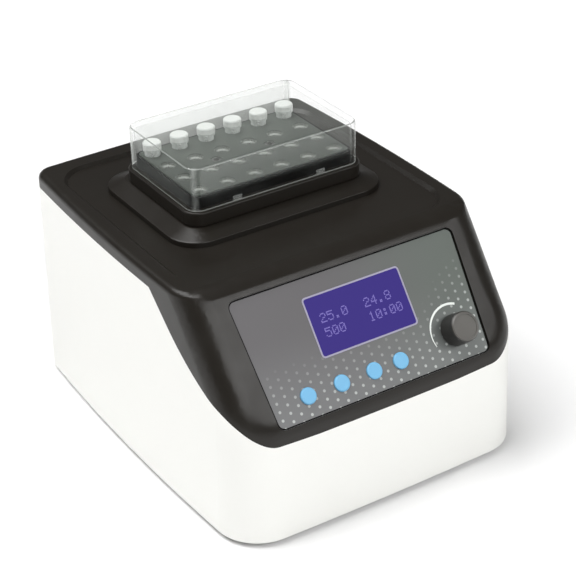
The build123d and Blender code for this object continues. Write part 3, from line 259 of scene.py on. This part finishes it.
def rounded_outline(u, v, width, height, radius, steps=8):
    points = []
    for k, (su, sv) in enumerate(((1, 1), (-1, 1), (-1, -1), (1, -1))):
        cu = u + su * (width / 2 - radius)
        cv = v + sv * (height / 2 - radius)
        for i in range(steps + 1):
            a = math.radians(90 * k + 90 * i / steps)
            points.append((cu + radius * math.cos(a), cv + radius * math.sin(a)))
    return points


# Materials of the outer pieces
white = plastic("housing_white", rgb(240, 240, 236), 0.42, grain=1400.0, grain_strength=0.12, cloud=0.012)
COVER_COLOUR = rgb(30, 27, 23)
black = plastic("cover_black", COVER_COLOUR, 0.33, grain=1100.0, grain_strength=0.12, cloud=0.08,
                gloss=0.33)
moulded_black = plastic("moulded_black", rgb(34, 34, 34), 0.5)
blue = plastic("button_blue", rgb(110, 174, 213), 0.5, grain=700.0, grain_strength=0.1, cloud=0.05)
rubber = plastic("foot_rubber", rgb(28, 28, 28), 0.8)
steel = metal("screw_steel", rgb(170, 170, 168), 0.35)
aluminium = metal("plate_aluminium", rgb(200, 201, 202), 0.38, stretch=(1, 12, 1))
circuit = plastic("circuit_green", rgb(26, 92, 52), 0.35)
film = plastic("film_orange", rgb(190, 110, 30), 0.3)
pad = plastic("pad_silicone", rgb(210, 208, 200), 0.8)
iron = plastic("motor_iron", rgb(80, 78, 75), 0.6)


# Console film: metallic grey that changes across the face, with a fading field of printed dots.
# The dots are given by the middle of one of them and by the cell that repeats, with a dot in its middle too.
DOT_U = -49.47 * MM
DOT_V = 0.31 * MM
DOT_PITCH_U = 13.45 * MM
DOT_PITCH_V = 5.45 * MM
DOT_R = 1.0 * MM


def console_film():
    m = Recipe("console_film")
    place = m.place()
    u = m.dot(place, tuple(ACROSS))
    v = m.math("SUBTRACT", m.dot(place, tuple(UP_SLOPE)), CONSOLE_ORIGIN.dot(UP_SLOPE))
    warm = rgb(82, 80, 82)
    cool = rgb(84, 90, 85)
    base = m.mix(m.ramp(u, -0.03, 0.08, smooth=True), warm, cool)
    base = m.mix(m.ramp(v, 0.0, 0.06, 0.55, 0.0, smooth=True), base, rgb(112, 114, 114))
    spots = []
    for shift in (0.0, 0.5):
        offset_u = (shift + 0.5) * DOT_PITCH_U - DOT_U
        offset_v = (shift + 0.5) * DOT_PITCH_V - DOT_V
        turn_u = m.math("FLOORED_MODULO", m.math("ADD", u, offset_u), DOT_PITCH_U)
        turn_v = m.math("FLOORED_MODULO", m.math("ADD", v, offset_v), DOT_PITCH_V)
        du = m.math("SUBTRACT", turn_u, DOT_PITCH_U / 2)
        dv = m.math("SUBTRACT", turn_v, DOT_PITCH_V / 2)
        spots.append(m.ramp(m.length(du, dv), DOT_R * 0.75, DOT_R * 1.15, 1.0, 0.0, smooth=True))
    dots = m.math("MAXIMUM", spots[0], spots[1])
    height = m.math("SUBTRACT", v, m.ramp(u, 0.03, 0.08, 0.0, 0.03, smooth=True))
    fade = m.ramp(height, 0.0, 0.038, 0.6, 0.0)
    shade = m.times(dots, fade)
    m.set(Base_Color=m.mix(shade, base, rgb(196, 200, 197)), Metallic=0.3, Roughness=0.42)
    return m.bump(m.noise(2200.0, 2.0), 0.08, 0.02 * MM).mat


def display_glow():
    m = Recipe("display_glow")
    tone = m.ramp(m.noise(30.0), 0.3, 0.7, 0.95, 1.05)
    colour = rgb(70, 56, 148)
    m.set(Base_Color=m.mix(tone, scaled(colour, 0.12), scaled(colour, 0.14)), Roughness=0.35)
    m.set(Emission_Color=colour, Emission_Strength=0.6, Specular_IOR_Level=0.06)
    return m.mat


# Clear lid: almost no haze in its walls, painted highlight lines along the upper edges and the foot, a
# painted milky glow on the rear wall, painted highlight streaks in the corners and a painted sheen on the
# front wall. The shares say how much each zone adds to the wall's opacity.
LID_CATCH_T = 0.7 * MM
LID_CATCH_X = 32.0 * MM
LID_CATCH_HALF = 3.25
LID_CORNER_R = 9.3 * MM
LID_SHARES = (("foot", 0.5), ("rear", 0.3), ("edge", 0.8), ("corner_highlight", 0.6), ("catch", 0.3), ("front_sheen", 0.2))
LID_GLOSS_POWER = 4.5
LID_GLOSS_SHARE = 0.7
LID_REAR_GLOW = 0.45


def inside_rounded(m, from_side, from_end):
    """Distance inward from the lid's outline, with its corners rounded."""
    past_side = m.math("MAXIMUM", m.math("SUBTRACT", LID_CORNER_R, from_side), 0.0)
    past_end = m.math("MAXIMUM", m.math("SUBTRACT", LID_CORNER_R, from_end), 0.0)
    return m.math("SUBTRACT", LID_CORNER_R, m.length(past_side, past_end))


def lid_zones(m):
    """Masks of the lid's painted foot highlight, painted rear glow, painted upper edge highlights, painted
    corner highlights, catches and painted front sheen.
    """
    low, high = (Vector(c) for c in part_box("lid"))
    place = m.place()
    x = m.math("ABSOLUTE", m.dot(place, (1, 0, 0)))
    y = m.dot(place, (0, 1, 0))
    z = m.dot(place, (0, 0, 1))
    from_side = m.math("SUBTRACT", high.x, x)
    from_front = m.math("SUBTRACT", y, low.y + LID_CATCH_T)
    from_rear = m.math("SUBTRACT", high.y - LID_CATCH_T, y)
    from_end = m.math("MINIMUM", from_front, from_rear)
    from_top = m.math("SUBTRACT", high.z, z)
    from_foot = m.math("SUBTRACT", z, low.z)
    inside = inside_rounded(m, from_side, from_end)
    off_edge = m.math("ABSOLUTE", m.math("SUBTRACT", inside, from_top))
    beside = m.math("ABSOLUTE", m.math("SUBTRACT", x, LID_CATCH_X))
    corner = m.times(m.fade(from_side, 3.0, 6.0), m.fade(from_end, 2.5, 4.5))
    catch = m.fade(beside, LID_CATCH_HALF, LID_CATCH_HALF + 0.4)
    return {
        # Painted highlight: a thin light line round the outer foot of the lid
        "foot": m.times(m.fade(from_foot, 0.6, 1.0), m.fade(inside, 0.3, 0.6)),
        "rear": m.fade(from_rear, 2.8, 4.0),
        "edge": m.times(m.fade(off_edge, 0.3, 0.9), m.fade(from_top, 1.2, 1.8)),
        # Painted highlights: patchy white streaks down the lid's corners
        "corner_highlight": m.times(corner, m.ramp(m.noise(160.0), 0.4, 0.6, 0.35, 0.75)),
        "catch": m.times(catch, m.fade(from_front, -0.3, -0.1)),
        # Painted sheen: a light veil over the front wall above its foot
        "front_sheen": m.times(m.fade(from_front, 0.3, 0.6), m.rise(from_foot, 8.0, 13.0)),
    }


def clear_acrylic():
    m = Recipe("clear_acrylic")
    zones = lid_zones(m)
    gloss = m.math("POWER", m.node("ShaderNodeLayerWeight").outputs["Facing"], LID_GLOSS_POWER)
    haze = m.ramp(m.noise(55.0, 4.0), 0.4, 0.75, 0.004, 0.03)
    alpha = m.math("ADD", haze, m.times(gloss, LID_GLOSS_SHARE))
    for zone, share in LID_SHARES:
        alpha = m.math("ADD", alpha, m.times(zones[zone], share), clamp=True)
    body = m.mix(haze, rgb(186, 190, 186), rgb(204, 208, 204))
    # Painted highlight: the upper edges are drawn as thin opaque light grey lines
    m.set(Base_Color=m.mix(zones["edge"], body, rgb(138, 142, 138)), Alpha=alpha)
    # Painted glow: the rear wall lights up milky white by emission, not by any lamp
    rear_painted_glow = m.math("SUBTRACT", zones["rear"], zones["edge"], clamp=True)
    m.set(Emission_Color=rgb(235, 238, 235), Emission_Strength=m.times(rear_painted_glow, LID_REAR_GLOW))
    m.set(Roughness=m.ramp(m.noise(40.0), 0.3, 0.7, 0.04, 0.12))
    return m.mat


# Frosted plastic of the tubes and caps: clear where it faces the eye, denser at its edges
def frosted(name, colour, clear):
    m = Recipe(name)
    m.set(Base_Color=m.mix(m.noise(80.0), scaled(colour, 0.94), colour), IOR=1.49)
    facing = m.node("ShaderNodeLayerWeight").outputs["Facing"]
    m.set(Alpha=m.ramp(facing, 0.1, 0.8, clear, 1.0))
    m.set(Roughness=m.ramp(m.noise(300.0), 0.3, 0.7, 0.12, 0.24))
    return m.bump(m.noise(400.0, 2.0), 0.12, 0.1 * MM).mat


# Collar: the cover's plastic, with painted shade above the ledge: a dead black band where it lines the lid
def collar_finish():
    m = Recipe("collar_black")
    low = Vector(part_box("lid")[0])
    painted_shade_band = m.rise(m.math("SUBTRACT", m.dot(m.place(), (0, 0, 1)), low.z), 0.2, 0.8)
    clouds = m.noise(14.0, 3.0)
    skirt = m.mix(clouds, scaled(COVER_COLOUR, 0.92), scaled(COVER_COLOUR, 1.08))
    m.set(Base_Color=m.mix(painted_shade_band, skirt, rgb(7, 6, 6)), Roughness=m.ramp(painted_shade_band, 0.0, 1.0, 0.31, 0.6))
    m.set(Specular_IOR_Level=m.ramp(painted_shade_band, 0.0, 1.0, 0.25, 0.05))
    return m.bump(m.noise(1100.0, 2.0), 0.2, GRAIN_DEPTH).mat


# Anodised block: blasted grey-green top and sides, lighter reamed wells with a painted glow, and a painted
# glint on their far wall
WELL_PITCH = 20.8 * MM
WELL_R_MM = 5.5
WELL_MID_Y = 30.8 * MM
WELL_GLINT_X = 2.2 * MM
WELL_GLINT = 0.45
WELL_GLOW = 0.10


def well_offset(m, direction, middle):
    """Distance along a direction from the nearest well, for wells half a pitch either side of the middle."""
    steps = m.math("DIVIDE", m.math("SUBTRACT", m.dot(m.place(), direction), middle), WELL_PITCH)
    return m.times(m.math("SUBTRACT", m.math("FRACT", steps), 0.5), WELL_PITCH)


def block_finish():
    m = Recipe("block_anodised")
    grain = m.noise(1600.0, 2.0)
    depth = m.math("SUBTRACT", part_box("heating_block")[1][2], m.dot(m.place(), (0, 0, 1)))
    off_axis = m.length(well_offset(m, (1, 0, 0), 0.0), well_offset(m, (0, 1, 0), WELL_MID_Y))
    within = m.times(m.fade(off_axis, WELL_R_MM + 0.2, WELL_R_MM + 0.5), m.rise(depth, 0.3, 0.6))
    base = m.mix(m.noise(30.0), rgb(98, 105, 99), rgb(116, 123, 116))
    base = m.mix(m.times(grain, 0.4), base, rgb(126, 132, 126))
    m.set(Base_Color=m.mix(within, base, rgb(150, 155, 149)))
    # Painted glint: a glowing band 2 to 4 mm down each well, strongest a little right of its middle; the
    # whole bore also glows faintly by painted light
    line = m.times(m.rise(depth, 2.0, 2.6), m.fade(depth, 3.4, 4.0))
    aside = m.math("ABSOLUTE", well_offset(m, (1, 0, 0), WELL_GLINT_X))
    painted_glint_spot = m.times(line, m.ramp(aside, 1.5 * MM, 4.5 * MM, 1.0, 0.0, smooth=True))
    bright = m.times(within, m.math("ADD", m.times(painted_glint_spot, WELL_GLINT), WELL_GLOW))
    m.set(Emission_Color=rgb(205, 210, 204), Emission_Strength=bright)
    rough = m.math("SUBTRACT", m.ramp(grain, 0.3, 0.7, 0.38, 0.5), m.times(within, 0.16))
    m.set(Metallic=0.85, Roughness=rough)
    return m.bump(grain, 0.12, 0.02 * MM).mat


# Knob: dark ribless side, grey turned face
KNOB_RIM = 1.1 * MM
KNOB_FACE_OUT = 10.0


def knob_finish():
    m = Recipe("knob_black")
    place = m.place()
    outward = m.math("SUBTRACT", m.dot(place, tuple(OUTWARD)), CONSOLE_ORIGIN.dot(OUTWARD))
    u = m.math("SUBTRACT", m.dot(place, tuple(ACROSS)), KNOB_U)
    v = m.math("SUBTRACT", m.dot(place, tuple(UP_SLOPE)), on_console(0.0, KNOB_V).dot(UP_SLOPE))
    low, high = (Vector(c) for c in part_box("control_knob"))
    face_r = ((high.x - low.x) / 2 - KNOB_RIM) / MM
    face = m.fade(m.length(u, v), face_r, face_r + 0.3)
    face = m.times(face, m.rise(outward, KNOB_FACE_OUT, KNOB_FACE_OUT + 0.3))
    m.set(Base_Color=m.mix(face, rgb(33, 32, 30), rgb(84, 82, 78)))
    m.set(Roughness=m.ramp(m.noise(90.0), 0.3, 0.7, 0.4, 0.5))
    return m.bump(m.noise(1500.0), 0.12, GRAIN_DEPTH).mat


def ink(name, colour, glow=0.0, gloss=0.5):
    m = Recipe(name)
    m.set(Base_Color=m.mix(m.noise(500.0), scaled(colour, 0.95), colour), Roughness=0.5)
    m.set(Specular_IOR_Level=gloss, Emission_Color=colour, Emission_Strength=glow)
    return m.mat


assign(["housing_shell"], white)
assign(["top_cover"], black)
assign(["block_collar"], collar_finish())
assign(["console_panel"], console_film())
assign(["display_window"], display_glow())
assign([f"button_{i}" for i in range(1, 5)], blue)
assign(["control_knob"], knob_finish())
rear = ["power_inlet", "fuse_drawer", "switch_cell", "power_rocker", "fan_frame", "fan_rotor"]
assign(rear + ["base_plate", "button_switches", "motor_housing"], moulded_black)
assign(["rubber_feet"], rubber)
screwed = ["base", "cover", "control_board", "inlet", "fan", "pillar", "motor", "block"]
assign([f"{place}_screws" for place in screwed] + ["encoder_nut"], steel)
shafts = ["encoder_push_rod", "encoder_shaft", "drive_shaft", "counterweight"]
bearings = ["main_bearings", "idler_bearings_lower", "idler_bearings_upper", "platform_bearing"]
assign(shafts + bearings + [f"idler_crank_{i}" for i in range(1, 5)], steel)
plates = ["mount_plate", "mount_pillars", "platform_plate", "heater_plate"]
assign(plates + ["encoder_body", "power_supply", "temperature_sensor", "board_standoffs"], aluminium)
assign(["motor_stator", "motor_rotor"], iron)
assign(["control_board", "display_module", "main_board"], circuit)
assign(["heater_film"], film)
assign(["insulation_pad"], pad)
assign(["heating_block"], block_finish())
assign(["lid"], clear_acrylic())
assign(["sample_tubes"], frosted("tube_clear", rgb(226, 231, 227), 0.3))
assign(["tube_caps"], frosted("cap_clear", rgb(230, 234, 230), 0.55))


# Cover: the CAD cover's mesh with the brow rolled down to its crease and the plinth's shoulder spread.
# A plinth is given by half its width, half its depth, its middle's y and its corner radius.
COVER_DECK_Z = 158.7 * MM
BROW_CREASE_Y = -83.77 * MM
BROW_START_Y = -70.4 * MM
BROW_R = 21.75 * MM
BROW_FLOOR = 150.0 * MM
BROW_CUTS = 14
BROW_BLEND = 3.0 * MM
BROW_BLEND_RUN = 4.0 * MM
BROW_BLEND_X = 93.0 * MM
BROW_BLEND_REACH = 8.0 * MM
OLD_PLINTH = (77.0 * MM, 53.5 * MM, 30.8 * MM, 20.0 * MM)
NEW_PLINTH = (80.0 * MM, 60.5 * MM, 33.0 * MM, 22.0 * MM)
PLINTH_BASE_Z = 156.3 * MM
PLINTH_ROUND = 2.5 * MM
PLINTH_ROUND_Z = 161.7 * MM
# The new shoulder: share of the old rounded edge, way inward and height
PLINTH_PROFILE = (
    (0.0, 0.0 * MM, 159.1 * MM),
    (0.15, 0.3 * MM, 159.8 * MM),
    (0.3, 1.0 * MM, 160.15 * MM),
    (0.9, 11.2 * MM, 163.75 * MM),
    (1.0, 12.2 * MM, 164.2 * MM),
)
SLACK = 0.02 * MM
WELD = 0.001 * MM
SHARP_EDGE = math.radians(22)


def rolled(x, y, z):
    """Height under the brow's roll, blended softly where the roll meets the flank."""
    roll = COVER_DECK_Z - BROW_R + math.sqrt(BROW_R ** 2 - (y - BROW_START_Y) ** 2)
    aside = max(0.0, min(1.0, (abs(x) - BROW_BLEND_X) / BROW_BLEND_REACH))
    blend = BROW_BLEND * aside * min(1.0, (BROW_START_Y - y) / BROW_BLEND_RUN)
    if blend <= 0.0 or abs(z - roll) >= blend:
        return min(z, roll)
    share = 1.0 - abs(z - roll) / blend
    return min(z, roll) - share * share * blend / 4


def plinth_profile(share):
    """Way inward and height at a share of the old rounded edge."""
    for (s0, in0, z0), (s1, in1, z1) in zip(PLINTH_PROFILE, PLINTH_PROFILE[1:]):
        if share <= s1:
            t = (share - s0) / (s1 - s0)
            return in0 + (in1 - in0) * t, z0 + (z1 - z0) * t
    return PLINTH_PROFILE[-1][1:]


def spread_plinth(vert):
    """Move a vertex of the old plinth's side or rounded edge to the new plinth."""
    half_w, half_d, mid, radius = OLD_PLINTH
    x, y, z = vert.co.x, vert.co.y - mid, vert.co.z
    flat_x = max(-(half_w - radius), min(half_w - radius, x))
    flat_y = max(-(half_d - radius), min(half_d - radius, y))
    out = math.hypot(x - flat_x, y - flat_y)
    outside = out - radius
    if z < PLINTH_BASE_Z - SLACK or outside > SLACK or outside < -PLINTH_ROUND - SLACK:
        return
    if z < PLINTH_ROUND_Z - SLACK and outside < -SLACK:
        return
    if z <= PLINTH_ROUND_Z:
        share = (z - PLINTH_BASE_Z) / (PLINTH_ROUND_Z - PLINTH_BASE_Z)
        inward, height = 0.0, PLINTH_BASE_Z + share * (PLINTH_PROFILE[0][2] - PLINTH_BASE_Z)
    else:
        turn = math.atan2(z - PLINTH_ROUND_Z, PLINTH_ROUND + outside)
        inward, height = plinth_profile(turn / (math.pi / 2))
    new_w, new_d, new_mid, new_radius = NEW_PLINTH
    reach = (new_radius - inward) / out
    vert.co.x = flat_x * (new_w - new_radius) / (half_w - radius) + (x - flat_x) * reach
    vert.co.y = new_mid + flat_y * (new_d - new_radius) / (half_d - radius) + (y - flat_y) * reach
    vert.co.z = height


def cut_faces(bm, faces, point, normal):
    """Cut these faces by a plane, so that the new curves have vertices to follow."""
    edges = list(dict.fromkeys(e for f in faces for e in f.edges))
    verts = list(dict.fromkeys(v for f in faces for v in f.verts))
    bmesh.ops.bisect_plane(bm, geom=faces + edges + verts, dist=WELD, plane_co=point, plane_no=normal)


def cut_brow_and_plinth(bm):
    for i in range(BROW_CUTS + 1):
        y = BROW_START_Y + (BROW_CREASE_Y - BROW_START_Y) * i / BROW_CUTS
        near = [f for f in bm.faces if max(v.co.z for v in f.verts) > BROW_FLOOR
                and min(v.co.y for v in f.verts) < y < max(v.co.y for v in f.verts)]
        cut_faces(bm, near, (0, y, 0), (0, 1, 0))
    for share, _, _ in PLINTH_PROFILE[1:-1]:
        z = PLINTH_ROUND_Z + PLINTH_ROUND * math.sin(share * math.pi / 2)
        near = [f for f in bm.faces if min(v.co.z for v in f.verts) < z < max(v.co.z for v in f.verts)]
        cut_faces(bm, near, (0, 0, z), (0, 0, 1))


def cover_skin():
    source = nodes["top_cover"]
    mesh = source.data.copy()
    mesh.transform(source.matrix_world)
    mesh.materials.clear()
    bm = bmesh.new()
    bm.from_mesh(mesh)
    bmesh.ops.remove_doubles(bm, verts=bm.verts, dist=WELD)
    cut_brow_and_plinth(bm)
    for vert in bm.verts:
        spread_plinth(vert)
        if BROW_CREASE_Y <= vert.co.y <= BROW_START_Y:
            vert.co.z = rolled(*vert.co)
    for face in bm.faces:
        face.smooth = True
    for edge in bm.edges:
        edge.smooth = len(edge.link_faces) == 2 and edge.calc_face_angle(0.0) < SHARP_EDGE
    bm.to_mesh(mesh)
    bm.free()
    obj = new_piece("top_cover_skin", mesh, black, "root")
    obj.modifiers.new("even_normals", "WEIGHTED_NORMAL").keep_sharp = True
    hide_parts("top_cover")


cover_skin()


# Dark line where the panel lies in its pocket
PANEL_HALF_TOP = 85.0 * MM
PANEL_HALF_BOTTOM = 80.6 * MM
PANEL_R = 5.0 * MM


def panel_outline(inset):
    radius = PANEL_R - inset
    points = []
    right = (PANEL_HALF_BOTTOM - inset, inset), (PANEL_HALF_TOP - inset, PANEL_H - inset)
    corners = [right[0], right[1], (-right[1][0], right[1][1]), (-right[0][0], right[0][1])]
    for k, corner in enumerate(corners):
        here = Vector(corner)
        before = (Vector(corners[k - 1]) - here).normalized()
        after = (Vector(corners[(k + 1) % 4]) - here).normalized()
        half = before.angle(after) / 2
        middle = here + (before + after).normalized() * radius / math.sin(half)
        start = here + before * radius / math.tan(half) - middle
        end = here + after * radius / math.tan(half) - middle
        for i in range(9):
            spoke = start.slerp(end, i / 8)
            points.append(tuple(middle + spoke.normalized() * radius))
    return points


gap = band(panel_outline(0.05 * MM), panel_outline(0.8 * MM))
printed("panel_gap_line", gap, ink("gap_ink", rgb(13, 12, 12), gloss=0.02))


# Display border and digits
border_mat = ink("display_border", rgb(150, 146, 168))
outer = rounded_outline(DISPLAY_U, DISPLAY_V, DISPLAY_W + 0.4 * MM, DISPLAY_H + 0.4 * MM, 2.6 * MM)
inner = rounded_outline(DISPLAY_U, DISPLAY_V, DISPLAY_W - 1.8 * MM, DISPLAY_H - 1.8 * MM, 1.6 * MM)
printed("display_border_print", band(outer, inner), border_mat, thick=0.12 * MM)

DIGITS = {
    "0": ("01110", "10001", "10011", "10101", "11001", "10001", "01110"),
    "1": ("00100", "01100", "00100", "00100", "00100", "00100", "01110"),
    "2": ("01110", "10001", "00001", "00110", "01000", "10000", "11111"),
    "5": ("11111", "10000", "11110", "00001", "00001", "10001", "01110"),
    "4": ("00010", "00110", "01010", "10010", "11111", "00010", "00010"),
    "8": ("01110", "10001", "10001", "01110", "10001", "10001", "01110"),
    ".": ("00000", "00000", "00000", "00000", "00000", "01100", "01100"),
    ":": ("00000", "01100", "01100", "00000", "01100", "01100", "00000"),
}
CELL = 0.88 * MM


def lcd_text(text, u, v):
    quads = []
    for k, character in enumerate(text):
        for row, bits in enumerate(DIGITS[character]):
            for column, bit in enumerate(bits):
                if bit == "1":
                    u0 = u + (k * 6 + column) * CELL
                    v0 = v + (6 - row) * CELL
                    quads.append(rectangle(u0, v0, u0 + CELL * 0.8, v0 + CELL * 0.8))
    return quads


LEFT_U, RIGHT_U = DISPLAY_U - 28.5 * MM, DISPLAY_U + 4.5 * MM
UPPER_V, LOWER_V = DISPLAY_V + 1.3 * MM, DISPLAY_V - 8.2 * MM
digits = lcd_text("25.0", LEFT_U, UPPER_V) + lcd_text("24.8", RIGHT_U, UPPER_V)
digits += lcd_text("500", LEFT_U, LOWER_V) + lcd_text("10:00", RIGHT_U, LOWER_V)
printed("display_digits", digits, ink("display_ink", rgb(112, 100, 176), 0.12))


# Arc round the knob: thin at its start, thicker over the top
ARC_R = 17.6 * MM
ARC_START = math.radians(200)
ARC_END = math.radians(66)
ARC_STEPS = 48


def arc_ends(t):
    """Inner and outer point of the arc at a share of its length."""
    angle = ARC_START + (ARC_END - ARC_START) * t
    half = (0.2 + 0.55 * math.sin(math.pi / 2 * min(1.0, t * 1.25))) * MM
    radii = (ARC_R - half, ARC_R + half)
    return [(KNOB_U + r * math.cos(angle), KNOB_V + r * math.sin(angle)) for r in radii]


def knob_arc():
    quads = []
    for i in range(ARC_STEPS):
        inner, outer = arc_ends(i / ARC_STEPS)
        next_inner, next_outer = arc_ends((i + 1) / ARC_STEPS)
        quads.append([next_inner, next_outer, outer, inner])
    printed("knob_arc_print", quads, ink("white_ink", rgb(232, 236, 232)))


knob_arc()


# Floor, light and camera. The floor glows a little far from the part, as a lit studio sweep does.
FLOOR_SIZE = 24.0
FLOOR_GREY = (0.93, 0.93, 0.93, 1.0)
GLOW_START = 0.4
GLOW_FULL = 2.2
FLOOR_GLOW = 0.75
WORLD_LIGHT = 0.13


def stage():
    bpy.ops.mesh.primitive_plane_add(size=FLOOR_SIZE, location=(0, 0, 0))
    floor = bpy.context.object
    floor.name = "floor"
    m = Recipe("floor_white")
    m.set(Base_Color=FLOOR_GREY, Roughness=0.6, Emission_Color=(1, 1, 1, 1))
    far = m.length(m.dot(m.place(), (1, 0, 0)), m.dot(m.place(), (0, 1, 0)))
    m.set(Emission_Strength=m.ramp(far, GLOW_START, GLOW_FULL, 0.0, FLOOR_GLOW))
    floor.data.materials.append(m.mat)
    world = bpy.data.worlds.new("studio")
    bpy.context.scene.world = world
    world.use_nodes = True
    background = world.node_tree.nodes["Background"]
    background.inputs["Color"].default_value = (1, 1, 1, 1)
    background.inputs["Strength"].default_value = WORLD_LIGHT


def area_light(name, place, aim, size, power):
    data = bpy.data.lights.new(name, "AREA")
    data.shape = "RECTANGLE"
    data.size, data.size_y = size
    data.energy = power
    lamp = bpy.data.objects.new(name, data)
    bpy.context.scene.collection.objects.link(lamp)
    lamp.location = place
    lamp.rotation_mode = "QUATERNION"
    lamp.rotation_quaternion = (Vector(aim) - Vector(place)).to_track_quat("-Z", "Y")


def camera():
    azimuth, elevation, roll = (math.radians(a) for a in (CAM_AZIMUTH, CAM_ELEVATION, CAM_ROLL))
    level = math.cos(elevation)
    back = Vector((math.sin(azimuth) * level, -math.cos(azimuth) * level, math.sin(elevation)))
    forward = -back
    right = forward.cross(Vector((0, 0, 1))).normalized()
    up = right.cross(forward)
    turned_right = math.cos(roll) * right + math.sin(roll) * up
    turned_up = -math.sin(roll) * right + math.cos(roll) * up
    data = bpy.data.cameras.new("camera")
    data.sensor_width = 36.0
    data.lens = CAM_FOCAL_PX / FRAME_PX * data.sensor_width
    cam = bpy.data.objects.new("camera", data)
    bpy.context.scene.collection.objects.link(cam)
    basis = Matrix((turned_right, turned_up, back)).transposed().to_4x4()
    cam.matrix_world = Matrix.Translation(CAM_TARGET + back * CAM_DISTANCE) @ basis
    bpy.context.scene.camera = cam


stage()
area_light("top", (-0.75, 0.5, 2.2), (0, 0.1, 0), (1.8, 1.8), 63.0)
area_light("slope", (0.15, -1.7, 1.38), (0, -0.1, 0.12), (2.6, 0.7), 28.5)
camera()
bpy.context.scene.view_settings.view_transform = "Standard"
